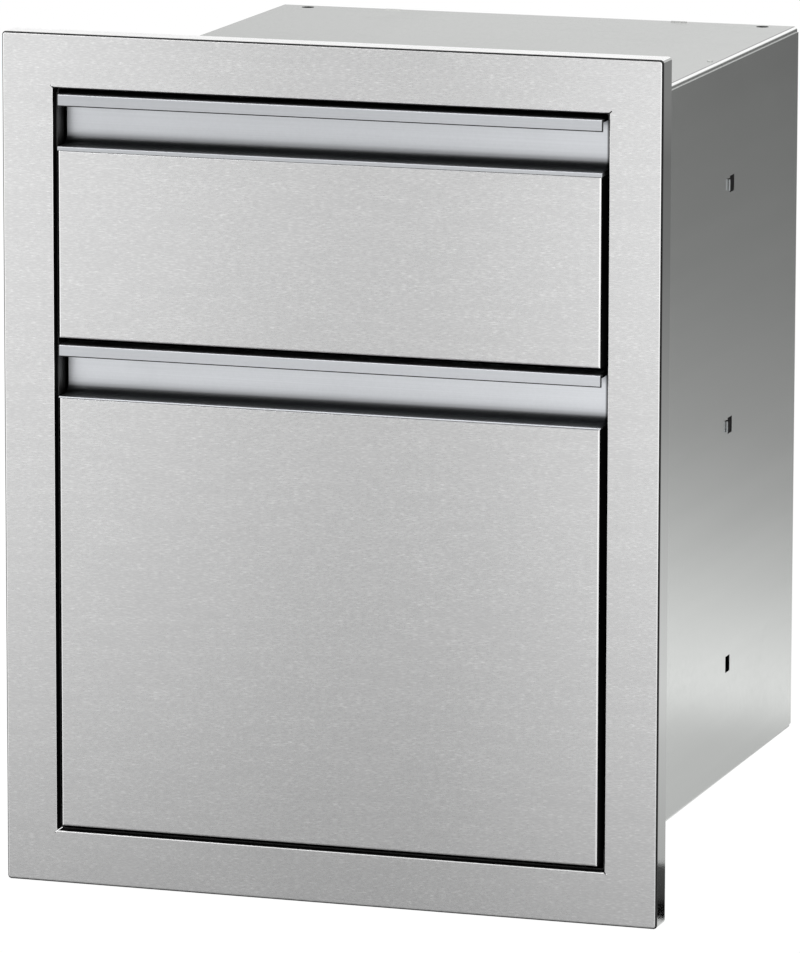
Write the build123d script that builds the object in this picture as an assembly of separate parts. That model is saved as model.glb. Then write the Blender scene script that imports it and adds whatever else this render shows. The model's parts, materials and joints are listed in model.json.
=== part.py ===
from build123d import *
import os

# Built-in stainless trash drawer: a face frame with a sheet-metal box behind it, a shallow utility
# drawer and, below it, a tall drawer that carries a removable trash bin.
# Millimetres. X is to the right, Y to the rear and Z up. The origin is the middle of the frame's lower
# edge, in the plane of the frame's rear edges, where it seats against the wall around the cut-out.

# Face frame
FRAME_W = 482.6
FRAME_H = 609.6
FRAME_BORDER = 38.1
FRAME_RETURN = 21.0
FRAME_SHEET = 1.2
FRAME_BEND = 1.8
FRAME_CORNER = 2.6
OPENING_RETURN = 19.0
OPENING_BEND = 1.0
RELIEF_SLIT = 0.9
RELIEF_REACH = 2.4

# Box behind the frame
BOX_FIT = 0.2
BOX_SHEET = 1.0
BOX_SETBACK = 6.0
LAP_HEIGHT = 15.0
LAP_REVEAL = 4.0
LAP_BEND = 2.6
SLIDE_TO_BACK = 13.2
BACK_INSET = 3.8
BACK_FLANGE = 12.0
TAB_INSET = 91.0
TAB_W = 12.0
TAB_PROUD = 0.8
TAB_PLAY = 0.3
TOP_HOLE_D = 9.5
TOP_HOLE_INSET = 25.0
TOP_HOLE_TO_BACK = 5.2
SIDE_HOLE_D = 5.0
SIDE_HOLE_Y = 18.0
SIDE_HOLE_INSET = 36.7
NIB_INSET = 9.0
NIB_Y = 262.5
NIB_D = 4.4
NIB_H = 0.7
NIB_ROUND = 0.6

# Hook slots in the sides, three at the slides' pitch, and the hooks of the slides in the upper two
SLOT_COUNT = 3
SLOT_LENGTH = 11.3
SLOT_HEIGHT = 12.0
HOOK_Y = 284.0
HOOK_HEIGHT = 8.0
HOOK_NECK = 2.0
HOOK_LENGTH = 5.0
HOOK_PLAY = 0.3

# Drawer fronts
FRONT_PROUD = 2.5
FRONT_SIDE_GAP = 4.75
FRONT_EDGE_GAP = 4.5
FRONT_MID_GAP = 5.0
UPPER_FRONT_H = 172.6
FRONT_SHEET = 1.0
FRONT_BEND = 1.2
LINER_SHEET = 1.0
LINER_INSET = 0.5

# Pull channel along the top of each front
PULL_TRAY = 36.7
PULL_LIP = 8.4
PULL_RECESS = 20.0
PULL_WALL = 2.0
PULL_BACK = 3.0
UPPER_PULL_FLOOR = 2.8
LOWER_PULL_FLOOR = 1.0
PULL_COVE = 8.0
PULL_ROUND = 0.8
PULL_OVERHANG = 0.6
PULL_SCREW_DROP = 15.5
PULL_SCREW_DEPTH = 2.2
PULL_SCREW_X = (-150.0, -50.0, 50.0, 150.0)

# Ball-bearing slides
SLIDE_DROP = 87.8
SLIDE_START = 2.5
SLIDE_LENGTH = 450.0
SLIDE_TRAVEL = 430.0
SLIDE_H = 45.0
SLIDE_T = 12.7
SLIDE_SHEET = 1.2
WEB_GAP = 1.3
RAIL_SHORT = 3.0
MIDDLE_SHORT = 2.5
MIDDLE_INSET = 10.0
BALL_D = 3.8
BALL_SINK = 0.3
BALL_PLAY = 0.15
BALLS_IN_ROW = 8
CAGE_SHEET = 0.6
CAGE_LIP = 2.6
CAGE_MARGIN = 6.0
CAGE_HOLE_PLAY = 0.1
CAGE_END = 10.0
BUMPER_LENGTH = 7.7
BUMPER_GAP = 0.3
BUMPER_H = 24.0
BUMPER_ROUND = 2.0

# Fasteners
SCREW_D = 3.5
SCREW_HEAD_D = 7.0
SCREW_HEAD_H = 2.4
SCREW_ROUND = 0.9
SCREW_PLAY = 0.1
SCREW_TIP = 1.0
RUNNER_SCREW_Y = (40.0, 380.0)
RIVET_Y = (14.0, 46.0)
RIVET_D = 4.0
RIVET_SUNK_D = 6.8
RIVET_SUNK_GAP = 0.1
RIVET_DOME_D = 7.4
RIVET_DOME_H = 1.3
RIVET_DOME_ROUND = 1.0

# Drawer boxes
DRAWER_SHEET = 1.0
DRAWER_REAR_SHORT = 8.0
UPPER_WALL_RISE = 10.0
UPPER_WALL_OVER = 37.0
WALL_TOP_FLANGE = 8.0
FLOOR_FLANGE = 8.0
CARRIER_OVER = 29.0
CARRIER_UNDER = 27.0
CARRIER_LEDGE = 16.0
CARRIER_FOOT = 10.0

# Trash bin
BIN_PLAY = 2.2
BIN_SEAT_GAP = 0.2
BIN_FLOOR_GAP = 8.0
BIN_WALL = 2.5
BIN_TAPER = 15.0
BIN_CORNER = 34.0
BIN_RIM = 11.0
BIN_RIM_T = 3.0
BIN_RIM_ROUND = 1.2

# Frame opening, and the box that fits in it
OPENING_HALF = FRAME_W / 2 - FRAME_BORDER
OPENING_BOTTOM = FRAME_BORDER
OPENING_TOP = FRAME_H - FRAME_BORDER
FACE_Y = -FRAME_RETURN
BOX_HALF = OPENING_HALF - BOX_FIT
BOX_INNER = BOX_HALF - BOX_SHEET
TAB_X = BOX_HALF - TAB_INSET
TOP_HOLE_X = BOX_HALF - TOP_HOLE_INSET
NIB_X = BOX_HALF - NIB_INSET
BOX_TOP = OPENING_TOP - BOX_FIT
BOX_BOTTOM = OPENING_BOTTOM + BOX_FIT
BOX_FRONT_Y = FACE_Y + BOX_SETBACK

# Drawer fronts, from the opening down
FRONT_HALF = OPENING_HALF - FRONT_SIDE_GAP
FRONT_Y = FACE_Y - FRONT_PROUD
PULL_DEPTH = PULL_RECESS + PULL_BACK
LINER_Y = FRONT_Y + PULL_DEPTH
LINER_REAR = LINER_Y + LINER_SHEET
UPPER_TOP = OPENING_TOP - FRONT_EDGE_GAP
UPPER_BOTTOM = UPPER_TOP - UPPER_FRONT_H
LOWER_TOP = UPPER_BOTTOM - FRONT_MID_GAP
LOWER_BOTTOM = OPENING_BOTTOM + FRONT_EDGE_GAP

# Slides, from the box wall inwards and from the front to the rear
UPPER_SLIDE_Z = UPPER_TOP - SLIDE_DROP
LOWER_SLIDE_Z = LOWER_TOP - SLIDE_DROP
SLOT_PITCH = UPPER_SLIDE_Z - LOWER_SLIDE_Z
SLIDE_Y = LINER_REAR + SLIDE_START
RAIL_REAR = SLIDE_Y + SLIDE_LENGTH
RUNNER_REAR = RAIL_REAR - BUMPER_LENGTH - BUMPER_GAP
MIDDLE_FRONT = SLIDE_Y + MIDDLE_INSET
MIDDLE_REAR = RAIL_REAR - MIDDLE_INSET
RACE_GAP = BALL_D - 2 * BALL_SINK
RAIL_RACE = SLIDE_H / 2 - SLIDE_SHEET
MIDDLE_HALF = RAIL_RACE - RACE_GAP
MIDDLE_RACE = MIDDLE_HALF - SLIDE_SHEET
RUNNER_HALF = MIDDLE_RACE - RACE_GAP
RAIL_REACH = SLIDE_T - RAIL_SHORT
MIDDLE_REACH = SLIDE_T - MIDDLE_SHORT
MIDDLE_WEB = SLIDE_SHEET + WEB_GAP
RUNNER_EDGE = MIDDLE_WEB + SLIDE_SHEET + WEB_GAP
OUTER_ROW_U = (MIDDLE_WEB + RAIL_REACH) / 2
OUTER_ROW_W = (RAIL_RACE + MIDDLE_HALF) / 2
INNER_ROW_U = (RUNNER_EDGE + MIDDLE_REACH) / 2
INNER_ROW_W = (MIDDLE_RACE + RUNNER_HALF) / 2
CAGE_GAP = (WEB_GAP - CAGE_SHEET) / 2
OUTER_CAGE_FRONT = SLIDE_Y + SLIDE_TRAVEL / 4 + CAGE_MARGIN
OUTER_CAGE_REAR = MIDDLE_REAR - SLIDE_TRAVEL / 4 - CAGE_MARGIN
INNER_CAGE_FRONT = MIDDLE_FRONT + SLIDE_TRAVEL / 4 + CAGE_MARGIN
INNER_CAGE_REAR = RUNNER_REAR - SLIDE_TRAVEL / 4 - CAGE_MARGIN
HOOK_FRONT = SLIDE_Y + HOOK_Y
SLOT_FRONT = HOOK_FRONT - HOOK_PLAY

# Rear of the box
BACK_Y = RAIL_REAR + SLIDE_TO_BACK
BOX_REAR = BACK_Y + BOX_SHEET + BACK_INSET

# Drawer boxes and bin
WALL_X = BOX_INNER - SLIDE_T
WALL_INNER = WALL_X - DRAWER_SHEET
DRAWER_REAR = RUNNER_REAR - DRAWER_REAR_SHORT
UPPER_WALL_BOTTOM = UPPER_BOTTOM + UPPER_WALL_RISE
UPPER_FLOOR_TOP = UPPER_WALL_BOTTOM + FLOOR_FLANGE
UPPER_WALL_TOP = UPPER_SLIDE_Z + UPPER_WALL_OVER
CARRIER_TOP = LOWER_SLIDE_Z + CARRIER_OVER
CARRIER_BOTTOM = LOWER_SLIDE_Z - CARRIER_UNDER
LEDGE_X = WALL_X - CARRIER_LEDGE
LEDGE_FRONT = LINER_REAR + CARRIER_LEDGE
LEDGE_REAR = DRAWER_REAR - CARRIER_LEDGE
BIN_HALF_X = LEDGE_X - BIN_PLAY
BIN_HALF_Y = (LEDGE_REAR - LEDGE_FRONT) / 2 - BIN_PLAY
BIN_Y = (LEDGE_FRONT + LEDGE_REAR) / 2
BIN_SEAT_Z = CARRIER_TOP + BIN_SEAT_GAP
BIN_BOTTOM = BOX_BOTTOM + BOX_SHEET + BIN_FLOOR_GAP


def block(x0, x1, y0, y1, z0, z1):
    """A box between two corners."""
    middle = Pos((x0 + x1) / 2, (y0 + y1) / 2, (z0 + z1) / 2)
    return middle * Box(x1 - x0, y1 - y0, z1 - z0)


def rod_x(x0, x1, y, z, radius):
    """A round rod along X."""
    return Pos((x0 + x1) / 2, y, z) * Rot(0, 90, 0) * Cylinder(radius, x1 - x0)


def rod_y(x, y0, y1, z, radius):
    """A round rod along Y."""
    return Pos(x, (y0 + y1) / 2, z) * Rot(90, 0, 0) * Cylinder(radius, y1 - y0)


def rod_z(x, y, z0, z1, radius):
    """A round rod along Z."""
    return Pos(x, y, (z0 + z1) / 2) * Cylinder(radius, z1 - z0)


def outline(points):
    """A flat face with this outline."""
    return make_face(Polyline(*points, close=True))


def along_x(face, x0, x1):
    """A prism from x0 to x1 whose section is drawn in Y and Z."""
    return extrude(Plane.YZ.offset(x0) * face, x1 - x0)


def along_y(face, y0, y1):
    """A prism from y0 to y1 whose section is drawn in X and Z."""
    return extrude(Plane.XZ.offset(-y1) * face, y1 - y0)


def along_z(face, z0, z1):
    """A prism from z0 to z1 whose section is drawn in X and Y."""
    return extrude(Plane.XY.offset(z0) * face, z1 - z0)


def rounded(face, radius, *points):
    """The face with its corners at these points rounded."""
    corners = [face.vertices().sort_by_distance((*point, 0))[0] for point in points]
    return fillet(corners, radius)


def both_sides(right):
    """A right-hand piece and its mirror image, keyed by side."""
    return {"right": right, "left": mirror(right, Plane.YZ)}


def face_frame():
    """Folded frame: a face, outer returns that seat on the wall, and returns around the opening."""
    def folded_edge(inset):
        half = FRAME_W / 2 - inset
        shell = block(-half, half, FACE_Y + inset, 0, inset, FRAME_H - inset)
        shell = fillet(shell.edges().filter_by(Axis.Y), FRAME_CORNER - inset)
        return fillet(shell.faces().sort_by(Axis.Y)[0].edges(), FRAME_BEND - inset)

    def opening_block(grow, y0, y1):
        half = OPENING_HALF + grow
        return block(-half, half, y0, y1, OPENING_BOTTOM - grow, OPENING_TOP + grow)

    return_rear = FACE_Y + OPENING_RETURN
    frame = folded_edge(0) - folded_edge(FRAME_SHEET)
    frame += opening_block(FRAME_SHEET, FACE_Y, return_rear)
    frame -= opening_block(0, FACE_Y, return_rear)
    front_edges = frame.edges().filter_by_position(Axis.Y, FACE_Y, FACE_Y)
    rim = [e for e in front_edges if abs(e.center().X) < OPENING_HALF + FRAME_SHEET / 2
           and OPENING_BOTTOM - FRAME_SHEET / 2 < e.center().Z < OPENING_TOP + FRAME_SHEET / 2]
    frame = fillet(rim, OPENING_BEND)
    for x_sign in (-1, 1):
        for z_sign, z in ((-1, OPENING_BOTTOM), (1, OPENING_TOP)):
            corner = Pos(x_sign * OPENING_HALF, FACE_Y + OPENING_RETURN / 2, z)
            slit = Box(2 * RELIEF_REACH, 2 * OPENING_RETURN, RELIEF_SLIT)
            frame -= corner * Rot(0, -45 * x_sign * z_sign, 0) * slit
    return frame


def slot_heights():
    """Height of the middle of each hook slot, from the top."""
    return [UPPER_SLIDE_Z - i * SLOT_PITCH for i in range(SLOT_COUNT)]


def side_panel():
    """Right side of the box, with hook slots, rivet holes and holes for mounting screws."""
    z0 = BOX_BOTTOM + LAP_REVEAL
    z1 = BOX_TOP - LAP_REVEAL
    panel = block(BOX_INNER, BOX_HALF, BOX_FRONT_Y, BOX_REAR, z0, z1)
    for z in slot_heights():
        half = SLOT_HEIGHT / 2
        panel -= block(BOX_INNER, BOX_HALF, SLOT_FRONT, SLOT_FRONT + SLOT_LENGTH, z - half, z + half)
    for z in (UPPER_SLIDE_Z, LOWER_SLIDE_Z):
        for y in RIVET_Y:
            panel -= rod_x(BOX_INNER, BOX_HALF, SLIDE_Y + y, z, RIVET_D / 2 + SCREW_PLAY)
    for z in (OPENING_BOTTOM + SIDE_HOLE_INSET, OPENING_TOP - SIDE_HOLE_INSET):
        panel -= rod_x(BOX_INNER, BOX_HALF, SIDE_HOLE_Y, z, SIDE_HOLE_D / 2)
    return panel


def lapped_panel(z_face, inward):
    """Top or bottom of the box, folded at both sides into laps that lie inside the side panels."""
    x = BOX_INNER
    z_in = z_face + inward * BOX_SHEET
    z_lap = z_face + inward * LAP_HEIGHT
    section = outline([
        (-x, z_lap), (-x, z_face), (x, z_face), (x, z_lap),
        (x - BOX_SHEET, z_lap), (x - BOX_SHEET, z_in), (BOX_SHEET - x, z_in), (BOX_SHEET - x, z_lap),
    ])
    section = rounded(section, LAP_BEND, (-x, z_face), (x, z_face))
    section = rounded(section, LAP_BEND - BOX_SHEET, (BOX_SHEET - x, z_in), (x - BOX_SHEET, z_in))
    return along_y(section, BOX_FRONT_Y, BOX_REAR)


def top_panel():
    """Top of the box, with round holes at the rear, slots for the back panel's tabs and pressed nibs."""
    panel = lapped_panel(BOX_TOP, -1)
    z0 = BOX_TOP - BOX_SHEET
    nib = rod_z(NIB_X, NIB_Y, z0, BOX_TOP + NIB_H, NIB_D / 2)
    nib = fillet(nib.faces().sort_by(Axis.Z)[-1].edges(), NIB_ROUND)
    for nib_side in both_sides(nib).values():
        panel += nib_side
    for sign in (-1, 1):
        panel -= rod_z(sign * TOP_HOLE_X, BACK_Y - TOP_HOLE_TO_BACK, z0, BOX_TOP, TOP_HOLE_D / 2)
        half = TAB_W / 2 + TAB_PLAY
        x = sign * TAB_X
        panel -= block(x - half, x + half, BACK_Y - TAB_PLAY, BACK_Y + BOX_SHEET + TAB_PLAY, z0, BOX_TOP)
    return panel


def back_panel():
    """Back of the box, with side flanges and two tabs that pass up through the top panel."""
    x = BOX_INNER - BOX_SHEET
    z0 = BOX_BOTTOM + BOX_SHEET
    z1 = BOX_TOP - BOX_SHEET
    y1 = BACK_Y + BOX_SHEET
    corner_gap = LAP_BEND - BOX_SHEET
    panel = block(-x, x, BACK_Y, y1, z0 + corner_gap, z1 - corner_gap)
    panel += block(corner_gap - x, x - corner_gap, BACK_Y, y1, z0, z1)
    for sign in (-1, 1):
        flange = block(x, BOX_INNER, BACK_Y - BACK_FLANGE, y1, BOX_BOTTOM + LAP_HEIGHT, BOX_TOP - LAP_HEIGHT)
        panel += flange if sign > 0 else mirror(flange, Plane.YZ)
        tab_x = sign * TAB_X
        panel += block(tab_x - TAB_W / 2, tab_x + TAB_W / 2, BACK_Y, y1, z1, BOX_TOP + TAB_PROUD)
    return panel


def channel(u_web, u_edge, half, thickness):
    """Section of a C channel: web towards u_web, flanges to u_edge, drawn in u and w.

    u runs inwards from the box's side panel, and w upwards from the middle of the slide."""
    inside = u_web + thickness if u_edge > u_web else u_web - thickness
    lip = half - thickness
    return outline([
        (u_web, -half), (u_edge, -half), (u_edge, -lip), (inside, -lip),
        (inside, lip), (u_edge, lip), (u_edge, half), (u_web, half),
    ])


def grooved(section, u, w):
    """The section with a ball groove above and below the middle."""
    for sign in (-1, 1):
        section -= Pos(u, sign * w) * Circle(BALL_D / 2 + BALL_PLAY)
    return section


def at_right(section, z, y0, y1):
    """A length of slide section against the right side panel, at height z."""
    flipped = mirror(section, Plane.YZ)
    return along_y(Pos(BOX_INNER, z) * flipped, y0, y1)


def slide_rail(z):
    """Fixed rail on the right side panel, with its hook through the slot and holes for its rivets."""
    section = grooved(channel(0, RAIL_REACH, SLIDE_H / 2, SLIDE_SHEET), OUTER_ROW_U, OUTER_ROW_W)
    rail = at_right(section, z, SLIDE_Y, RAIL_REAR)
    x_leg = BOX_HALF + HOOK_PLAY
    half = HOOK_HEIGHT / 2
    rail += block(BOX_INNER, x_leg, HOOK_FRONT, HOOK_FRONT + HOOK_NECK, z - half, z + half)
    leg_front = HOOK_FRONT - HOOK_LENGTH
    rail += block(x_leg, x_leg + SLIDE_SHEET, leg_front, HOOK_FRONT + HOOK_NECK, z - half, z + half)
    for y in RIVET_Y:
        rail -= rivet_cone(SLIDE_Y + y, z, SCREW_PLAY)
    return rail


def rivet_cone(y, z, grow):
    """The sunk head of a rivet in the rail's web, or with grow the hole for it."""
    wide = RIVET_SUNK_D / 2 + grow
    narrow = RIVET_D / 2 + grow
    depth = SLIDE_SHEET - RIVET_SUNK_GAP
    cone = Pos(BOX_INNER - depth / 2, y, z) * Rot(0, -90, 0) * Cone(narrow, wide, depth)
    if not grow:
        return cone
    x_web = BOX_INNER - SLIDE_SHEET
    return cone + rod_x(x_web, x_web + RIVET_SUNK_GAP, y, z, wide)


def rivet(y, z):
    """Rivet through the rail and the right side panel: sunk head inside, low dome outside."""
    dome = rod_x(BOX_HALF, BOX_HALF + RIVET_DOME_H, y, z, RIVET_DOME_D / 2)
    dome = fillet(dome.faces().sort_by(Axis.X)[-1].edges(), RIVET_DOME_ROUND)
    return rivet_cone(y, z, 0) + rod_x(BOX_INNER, BOX_HALF, y, z, RIVET_D / 2) + dome


def slide_bumper(z):
    """Rubber stop in the rear end of a right-hand rail, behind the runner."""
    x1 = BOX_INNER - SLIDE_SHEET
    x0 = BOX_INNER - RAIL_REACH
    half = BUMPER_H / 2
    bumper = block(x0, x1, RAIL_REAR - BUMPER_LENGTH, RAIL_REAR, z - half, z + half)
    return fillet(bumper.edges().filter_by(Axis.X), BUMPER_ROUND)


def slide_middle(z):
    """Middle member of a right-hand slide, with grooves for both sets of balls."""
    section = channel(MIDDLE_WEB, MIDDLE_REACH, MIDDLE_HALF, SLIDE_SHEET)
    section = grooved(section, OUTER_ROW_U, OUTER_ROW_W)
    section = grooved(section, INNER_ROW_U, INNER_ROW_W)
    return at_right(section, z, MIDDLE_FRONT, MIDDLE_REAR)


def slide_runner(z):
    """Runner of a right-hand slide, screwed to the drawer."""
    section = grooved(channel(SLIDE_T, RUNNER_EDGE, RUNNER_HALF, SLIDE_SHEET), INNER_ROW_U, INNER_ROW_W)
    runner = at_right(section, z, SLIDE_Y, RUNNER_REAR)
    for y in RUNNER_SCREW_Y:
        runner -= rod_x(WALL_X, WALL_X + SLIDE_SHEET, SLIDE_Y + y, z, SCREW_D / 2 + SCREW_PLAY)
    return runner


def ball_places(front, rear):
    """Places of the balls of one row along a cage."""
    pitch = (rear - front - 2 * CAGE_END) / (BALLS_IN_ROW - 1)
    return [front + CAGE_END + i * pitch for i in range(BALLS_IN_ROW)]


def ball_cage(z, u_web, row_u, row_w, front, rear):
    """Cage of a right-hand slide: a thin channel with a hole for each ball."""
    section = channel(u_web, row_u + CAGE_LIP, row_w + CAGE_SHEET / 2, CAGE_SHEET)
    cage = at_right(section, z, front, rear)
    hole_radius = BALL_D / 2 + CAGE_HOLE_PLAY
    holes = []
    for sign in (-1, 1):
        z_row = z + sign * row_w
        for y in ball_places(front, rear):
            holes.append(rod_z(BOX_INNER - row_u, y, z_row - CAGE_SHEET, z_row + CAGE_SHEET, hole_radius))
    return cage - holes


def ball_row(z, row_u, row_w, front, rear):
    """Balls of a right-hand cage, above and below."""
    return [
        Pos(BOX_INNER - row_u, y, z + sign * row_w) * Sphere(BALL_D / 2)
        for y in ball_places(front, rear) for sign in (-1, 1)
    ]


def front_panel(z0, z1):
    """Drawer front: a sheet folded back on all four sides."""
    panel = block(-FRONT_HALF, FRONT_HALF, FRONT_Y, LINER_Y, z0, z1)
    panel = fillet(panel.faces().sort_by(Axis.Y)[0].edges(), FRONT_BEND)
    inner = FRONT_HALF - FRONT_SHEET
    return panel - block(-inner, inner, FRONT_Y + FRONT_SHEET, LINER_Y, z0 + FRONT_SHEET, z1 - FRONT_SHEET)


def pull_channel(z_top, z_floor):
    """Full-width pull: an open channel with a lip to hook the fingers behind and a coved floor."""
    y_lip = FRONT_Y + PULL_WALL
    y_back = FRONT_Y + PULL_RECESS
    z_lip = z_top - PULL_LIP
    z_roof = z_top - PULL_WALL
    z_tray = z_top - PULL_TRAY
    section = outline([
        (FRONT_Y, z_floor), (LINER_Y, z_floor), (LINER_Y, z_top), (FRONT_Y, z_top), (FRONT_Y, z_lip),
        (y_lip, z_lip), (y_lip, z_roof), (y_back, z_roof), (y_back, z_tray), (FRONT_Y, z_tray),
    ])
    section = rounded(section, PULL_COVE, (y_back, z_tray))
    front_corners = [(FRONT_Y, z_top), (FRONT_Y, z_lip), (FRONT_Y, z_tray), (y_lip, z_lip)]
    section = rounded(section, PULL_ROUND, *front_corners)
    half = FRONT_HALF + PULL_OVERHANG
    pull = along_x(section, -half, half)
    for x in PULL_SCREW_X:
        z = z_top - PULL_SCREW_DROP
        pull -= rod_y(x, LINER_Y - PULL_SCREW_DEPTH, LINER_Y, z, SCREW_D / 2 + SCREW_PLAY)
    return pull


def front_liner(z0, z1):
    """Flat sheet that closes the back of a drawer front and carries the drawer box."""
    half = FRONT_HALF - LINER_INSET
    liner = block(-half, half, LINER_Y, LINER_REAR, z0 + LINER_INSET, z1 - LINER_INSET)
    for x in PULL_SCREW_X:
        liner -= rod_y(x, LINER_Y, LINER_REAR, z1 - PULL_SCREW_DROP, SCREW_D / 2 + SCREW_PLAY)
    return liner


def pull_screws(z_top):
    """Screws from inside the drawer, through the liner into the pull."""
    screws = []
    z = z_top - PULL_SCREW_DROP
    for x in PULL_SCREW_X:
        head = rod_y(x, LINER_REAR, LINER_REAR + SCREW_HEAD_H, z, SCREW_HEAD_D / 2)
        head = fillet(head.faces().sort_by(Axis.Y)[-1].edges(), SCREW_ROUND)
        screws.append(head + rod_y(x, LINER_Y - PULL_SCREW_DEPTH, LINER_REAR, z, SCREW_D / 2))
    return screws


def runner_screws(z):
    """Screws from the hollow of a right-hand runner into the drawer's wall."""
    screws = []
    for y in RUNNER_SCREW_Y:
        x_web = WALL_X + SLIDE_SHEET
        head = rod_x(x_web, x_web + SCREW_HEAD_H, SLIDE_Y + y, z, SCREW_HEAD_D / 2)
        head = fillet(head.faces().sort_by(Axis.X)[-1].edges(), SCREW_ROUND)
        screws.append(head + rod_x(WALL_INNER - SCREW_TIP, x_web, SLIDE_Y + y, z, SCREW_D / 2))
    return screws


def screw_holes_in_wall(z):
    """Holes for the runner's screws in a right-hand drawer wall."""
    return [
        rod_x(WALL_INNER, WALL_X, SLIDE_Y + y, z, SCREW_D / 2 + SCREW_PLAY) for y in RUNNER_SCREW_Y
    ]


def upper_wall():
    """Right wall of the upper drawer, with its top folded out over the slide."""
    flange_under = UPPER_WALL_TOP - DRAWER_SHEET
    x_flange = WALL_X + WALL_TOP_FLANGE
    section = outline([
        (WALL_INNER, UPPER_WALL_BOTTOM), (WALL_X, UPPER_WALL_BOTTOM), (WALL_X, flange_under),
        (x_flange, flange_under), (x_flange, UPPER_WALL_TOP), (WALL_INNER, UPPER_WALL_TOP),
    ])
    return along_y(section, LINER_REAR, DRAWER_REAR) - screw_holes_in_wall(UPPER_SLIDE_Z)


def upper_floor():
    """Floor of the upper drawer, with its four edges folded down against the walls."""
    def tray(inset, z1):
        half = WALL_INNER - inset
        y0 = LINER_REAR + inset
        y1 = DRAWER_REAR - DRAWER_SHEET - inset
        return block(-half, half, y0, y1, UPPER_WALL_BOTTOM, z1)

    return tray(0, UPPER_FLOOR_TOP) - tray(DRAWER_SHEET, UPPER_FLOOR_TOP - DRAWER_SHEET)


def upper_back_wall():
    """Back wall of the upper drawer, between the side walls."""
    y0 = DRAWER_REAR - DRAWER_SHEET
    return block(-WALL_INNER, WALL_INNER, y0, DRAWER_REAR, UPPER_WALL_BOTTOM, UPPER_WALL_TOP)


def carrier_side_rail():
    """Right rail of the bin carrier: ledge for the bin's rim on top, stiffening foot below."""
    ledge_under = CARRIER_TOP - DRAWER_SHEET
    foot_top = CARRIER_BOTTOM + DRAWER_SHEET
    x_foot = WALL_X - CARRIER_FOOT
    section = outline([
        (LEDGE_X, CARRIER_TOP), (WALL_X, CARRIER_TOP), (WALL_X, CARRIER_BOTTOM), (x_foot, CARRIER_BOTTOM),
        (x_foot, foot_top), (WALL_INNER, foot_top), (WALL_INNER, ledge_under), (LEDGE_X, ledge_under),
    ])
    rail = along_y(section, LINER_REAR, DRAWER_REAR - DRAWER_SHEET)
    return rail - screw_holes_in_wall(LOWER_SLIDE_Z)


def carrier_front_rail():
    """Front rail of the bin carrier, an angle on the back of the liner."""
    rail = block(-LEDGE_X, LEDGE_X, LINER_REAR, LINER_REAR + DRAWER_SHEET, CARRIER_BOTTOM, CARRIER_TOP)
    return rail + block(-LEDGE_X, LEDGE_X, LINER_REAR, LEDGE_FRONT, CARRIER_TOP - DRAWER_SHEET, CARRIER_TOP)


def carrier_rear_rail():
    """Rear rail of the bin carrier, an end plate across both side rails with a ledge between them."""
    y0 = DRAWER_REAR - DRAWER_SHEET
    rail = block(-WALL_X, WALL_X, y0, DRAWER_REAR, CARRIER_BOTTOM, CARRIER_TOP)
    return rail + block(-LEDGE_X, LEDGE_X, LEDGE_REAR, DRAWER_REAR, CARRIER_TOP - DRAWER_SHEET, CARRIER_TOP)


def trash_bin():
    """Tapered bin with round corners, hung by its rim on the carrier."""
    rim_top = BIN_SEAT_Z + BIN_RIM_T

    def tapered(inset, z0):
        share = (rim_top - z0) / (rim_top - BIN_BOTTOM)
        ends = []
        for z, taper in ((z0, BIN_TAPER * share), (rim_top, 0)):
            size_x = 2 * (BIN_HALF_X - inset - taper)
            size_y = 2 * (BIN_HALF_Y - inset - taper)
            section = RectangleRounded(size_x, size_y, BIN_CORNER - inset)
            ends.append(Pos(0, BIN_Y, z) * section)
        return loft(ends, ruled=True)

    rim = RectangleRounded(2 * (BIN_HALF_X + BIN_RIM), 2 * (BIN_HALF_Y + BIN_RIM), BIN_CORNER + BIN_RIM)
    rim = along_z(Pos(0, BIN_Y) * rim, BIN_SEAT_Z, rim_top)
    rim = fillet(rim.faces().sort_by(Axis.Z)[-1].edges(), BIN_RIM_ROUND)
    return tapered(0, BIN_BOTTOM) + rim - tapered(BIN_WALL, BIN_BOTTOM + BIN_WALL)


def cabinet():
    """The fixed pieces: frame, box, rails with their rivets and stops."""
    nodes = {
        "face_frame": face_frame(),
        "top_panel": top_panel(),
        "bottom_panel": lapped_panel(BOX_BOTTOM, 1),
        "back_panel": back_panel(),
    }
    for side, panel in both_sides(side_panel()).items():
        nodes[f"{side}_side_panel"] = panel
    rivets = []
    bumpers = []
    for level, z in (("upper", UPPER_SLIDE_Z), ("lower", LOWER_SLIDE_Z)):
        for side, rail in both_sides(slide_rail(z)).items():
            nodes[f"{level}_{side}_slide_rail"] = rail
        for y in RIVET_Y:
            rivets += both_sides(rivet(SLIDE_Y + y, z)).values()
        bumpers += both_sides(slide_bumper(z)).values()
    nodes["slide_rivets"] = rivets
    nodes["slide_bumpers"] = bumpers
    return nodes


def slide_insides(level, z):
    """The middle members, cages and balls of one drawer's two slides."""
    outer = (OUTER_ROW_U, OUTER_ROW_W, OUTER_CAGE_FRONT, OUTER_CAGE_REAR)
    inner = (INNER_ROW_U, INNER_ROW_W, INNER_CAGE_FRONT, INNER_CAGE_REAR)
    outer_web = SLIDE_SHEET + CAGE_GAP
    inner_web = MIDDLE_WEB + SLIDE_SHEET + CAGE_GAP
    nodes = {}
    for side, middle in both_sides(slide_middle(z)).items():
        nodes[f"{level}_{side}_slide_middle"] = middle
    for name, web, row in (("outer", outer_web, outer), ("inner", inner_web, inner)):
        for side, cage in both_sides(ball_cage(z, web, *row)).items():
            nodes[f"{level}_{side}_{name}_cage"] = cage
        balls = []
        for ball in ball_row(z, *row):
            balls += both_sides(ball).values()
        nodes[f"{level}_{name}_balls"] = balls
    return nodes


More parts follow.
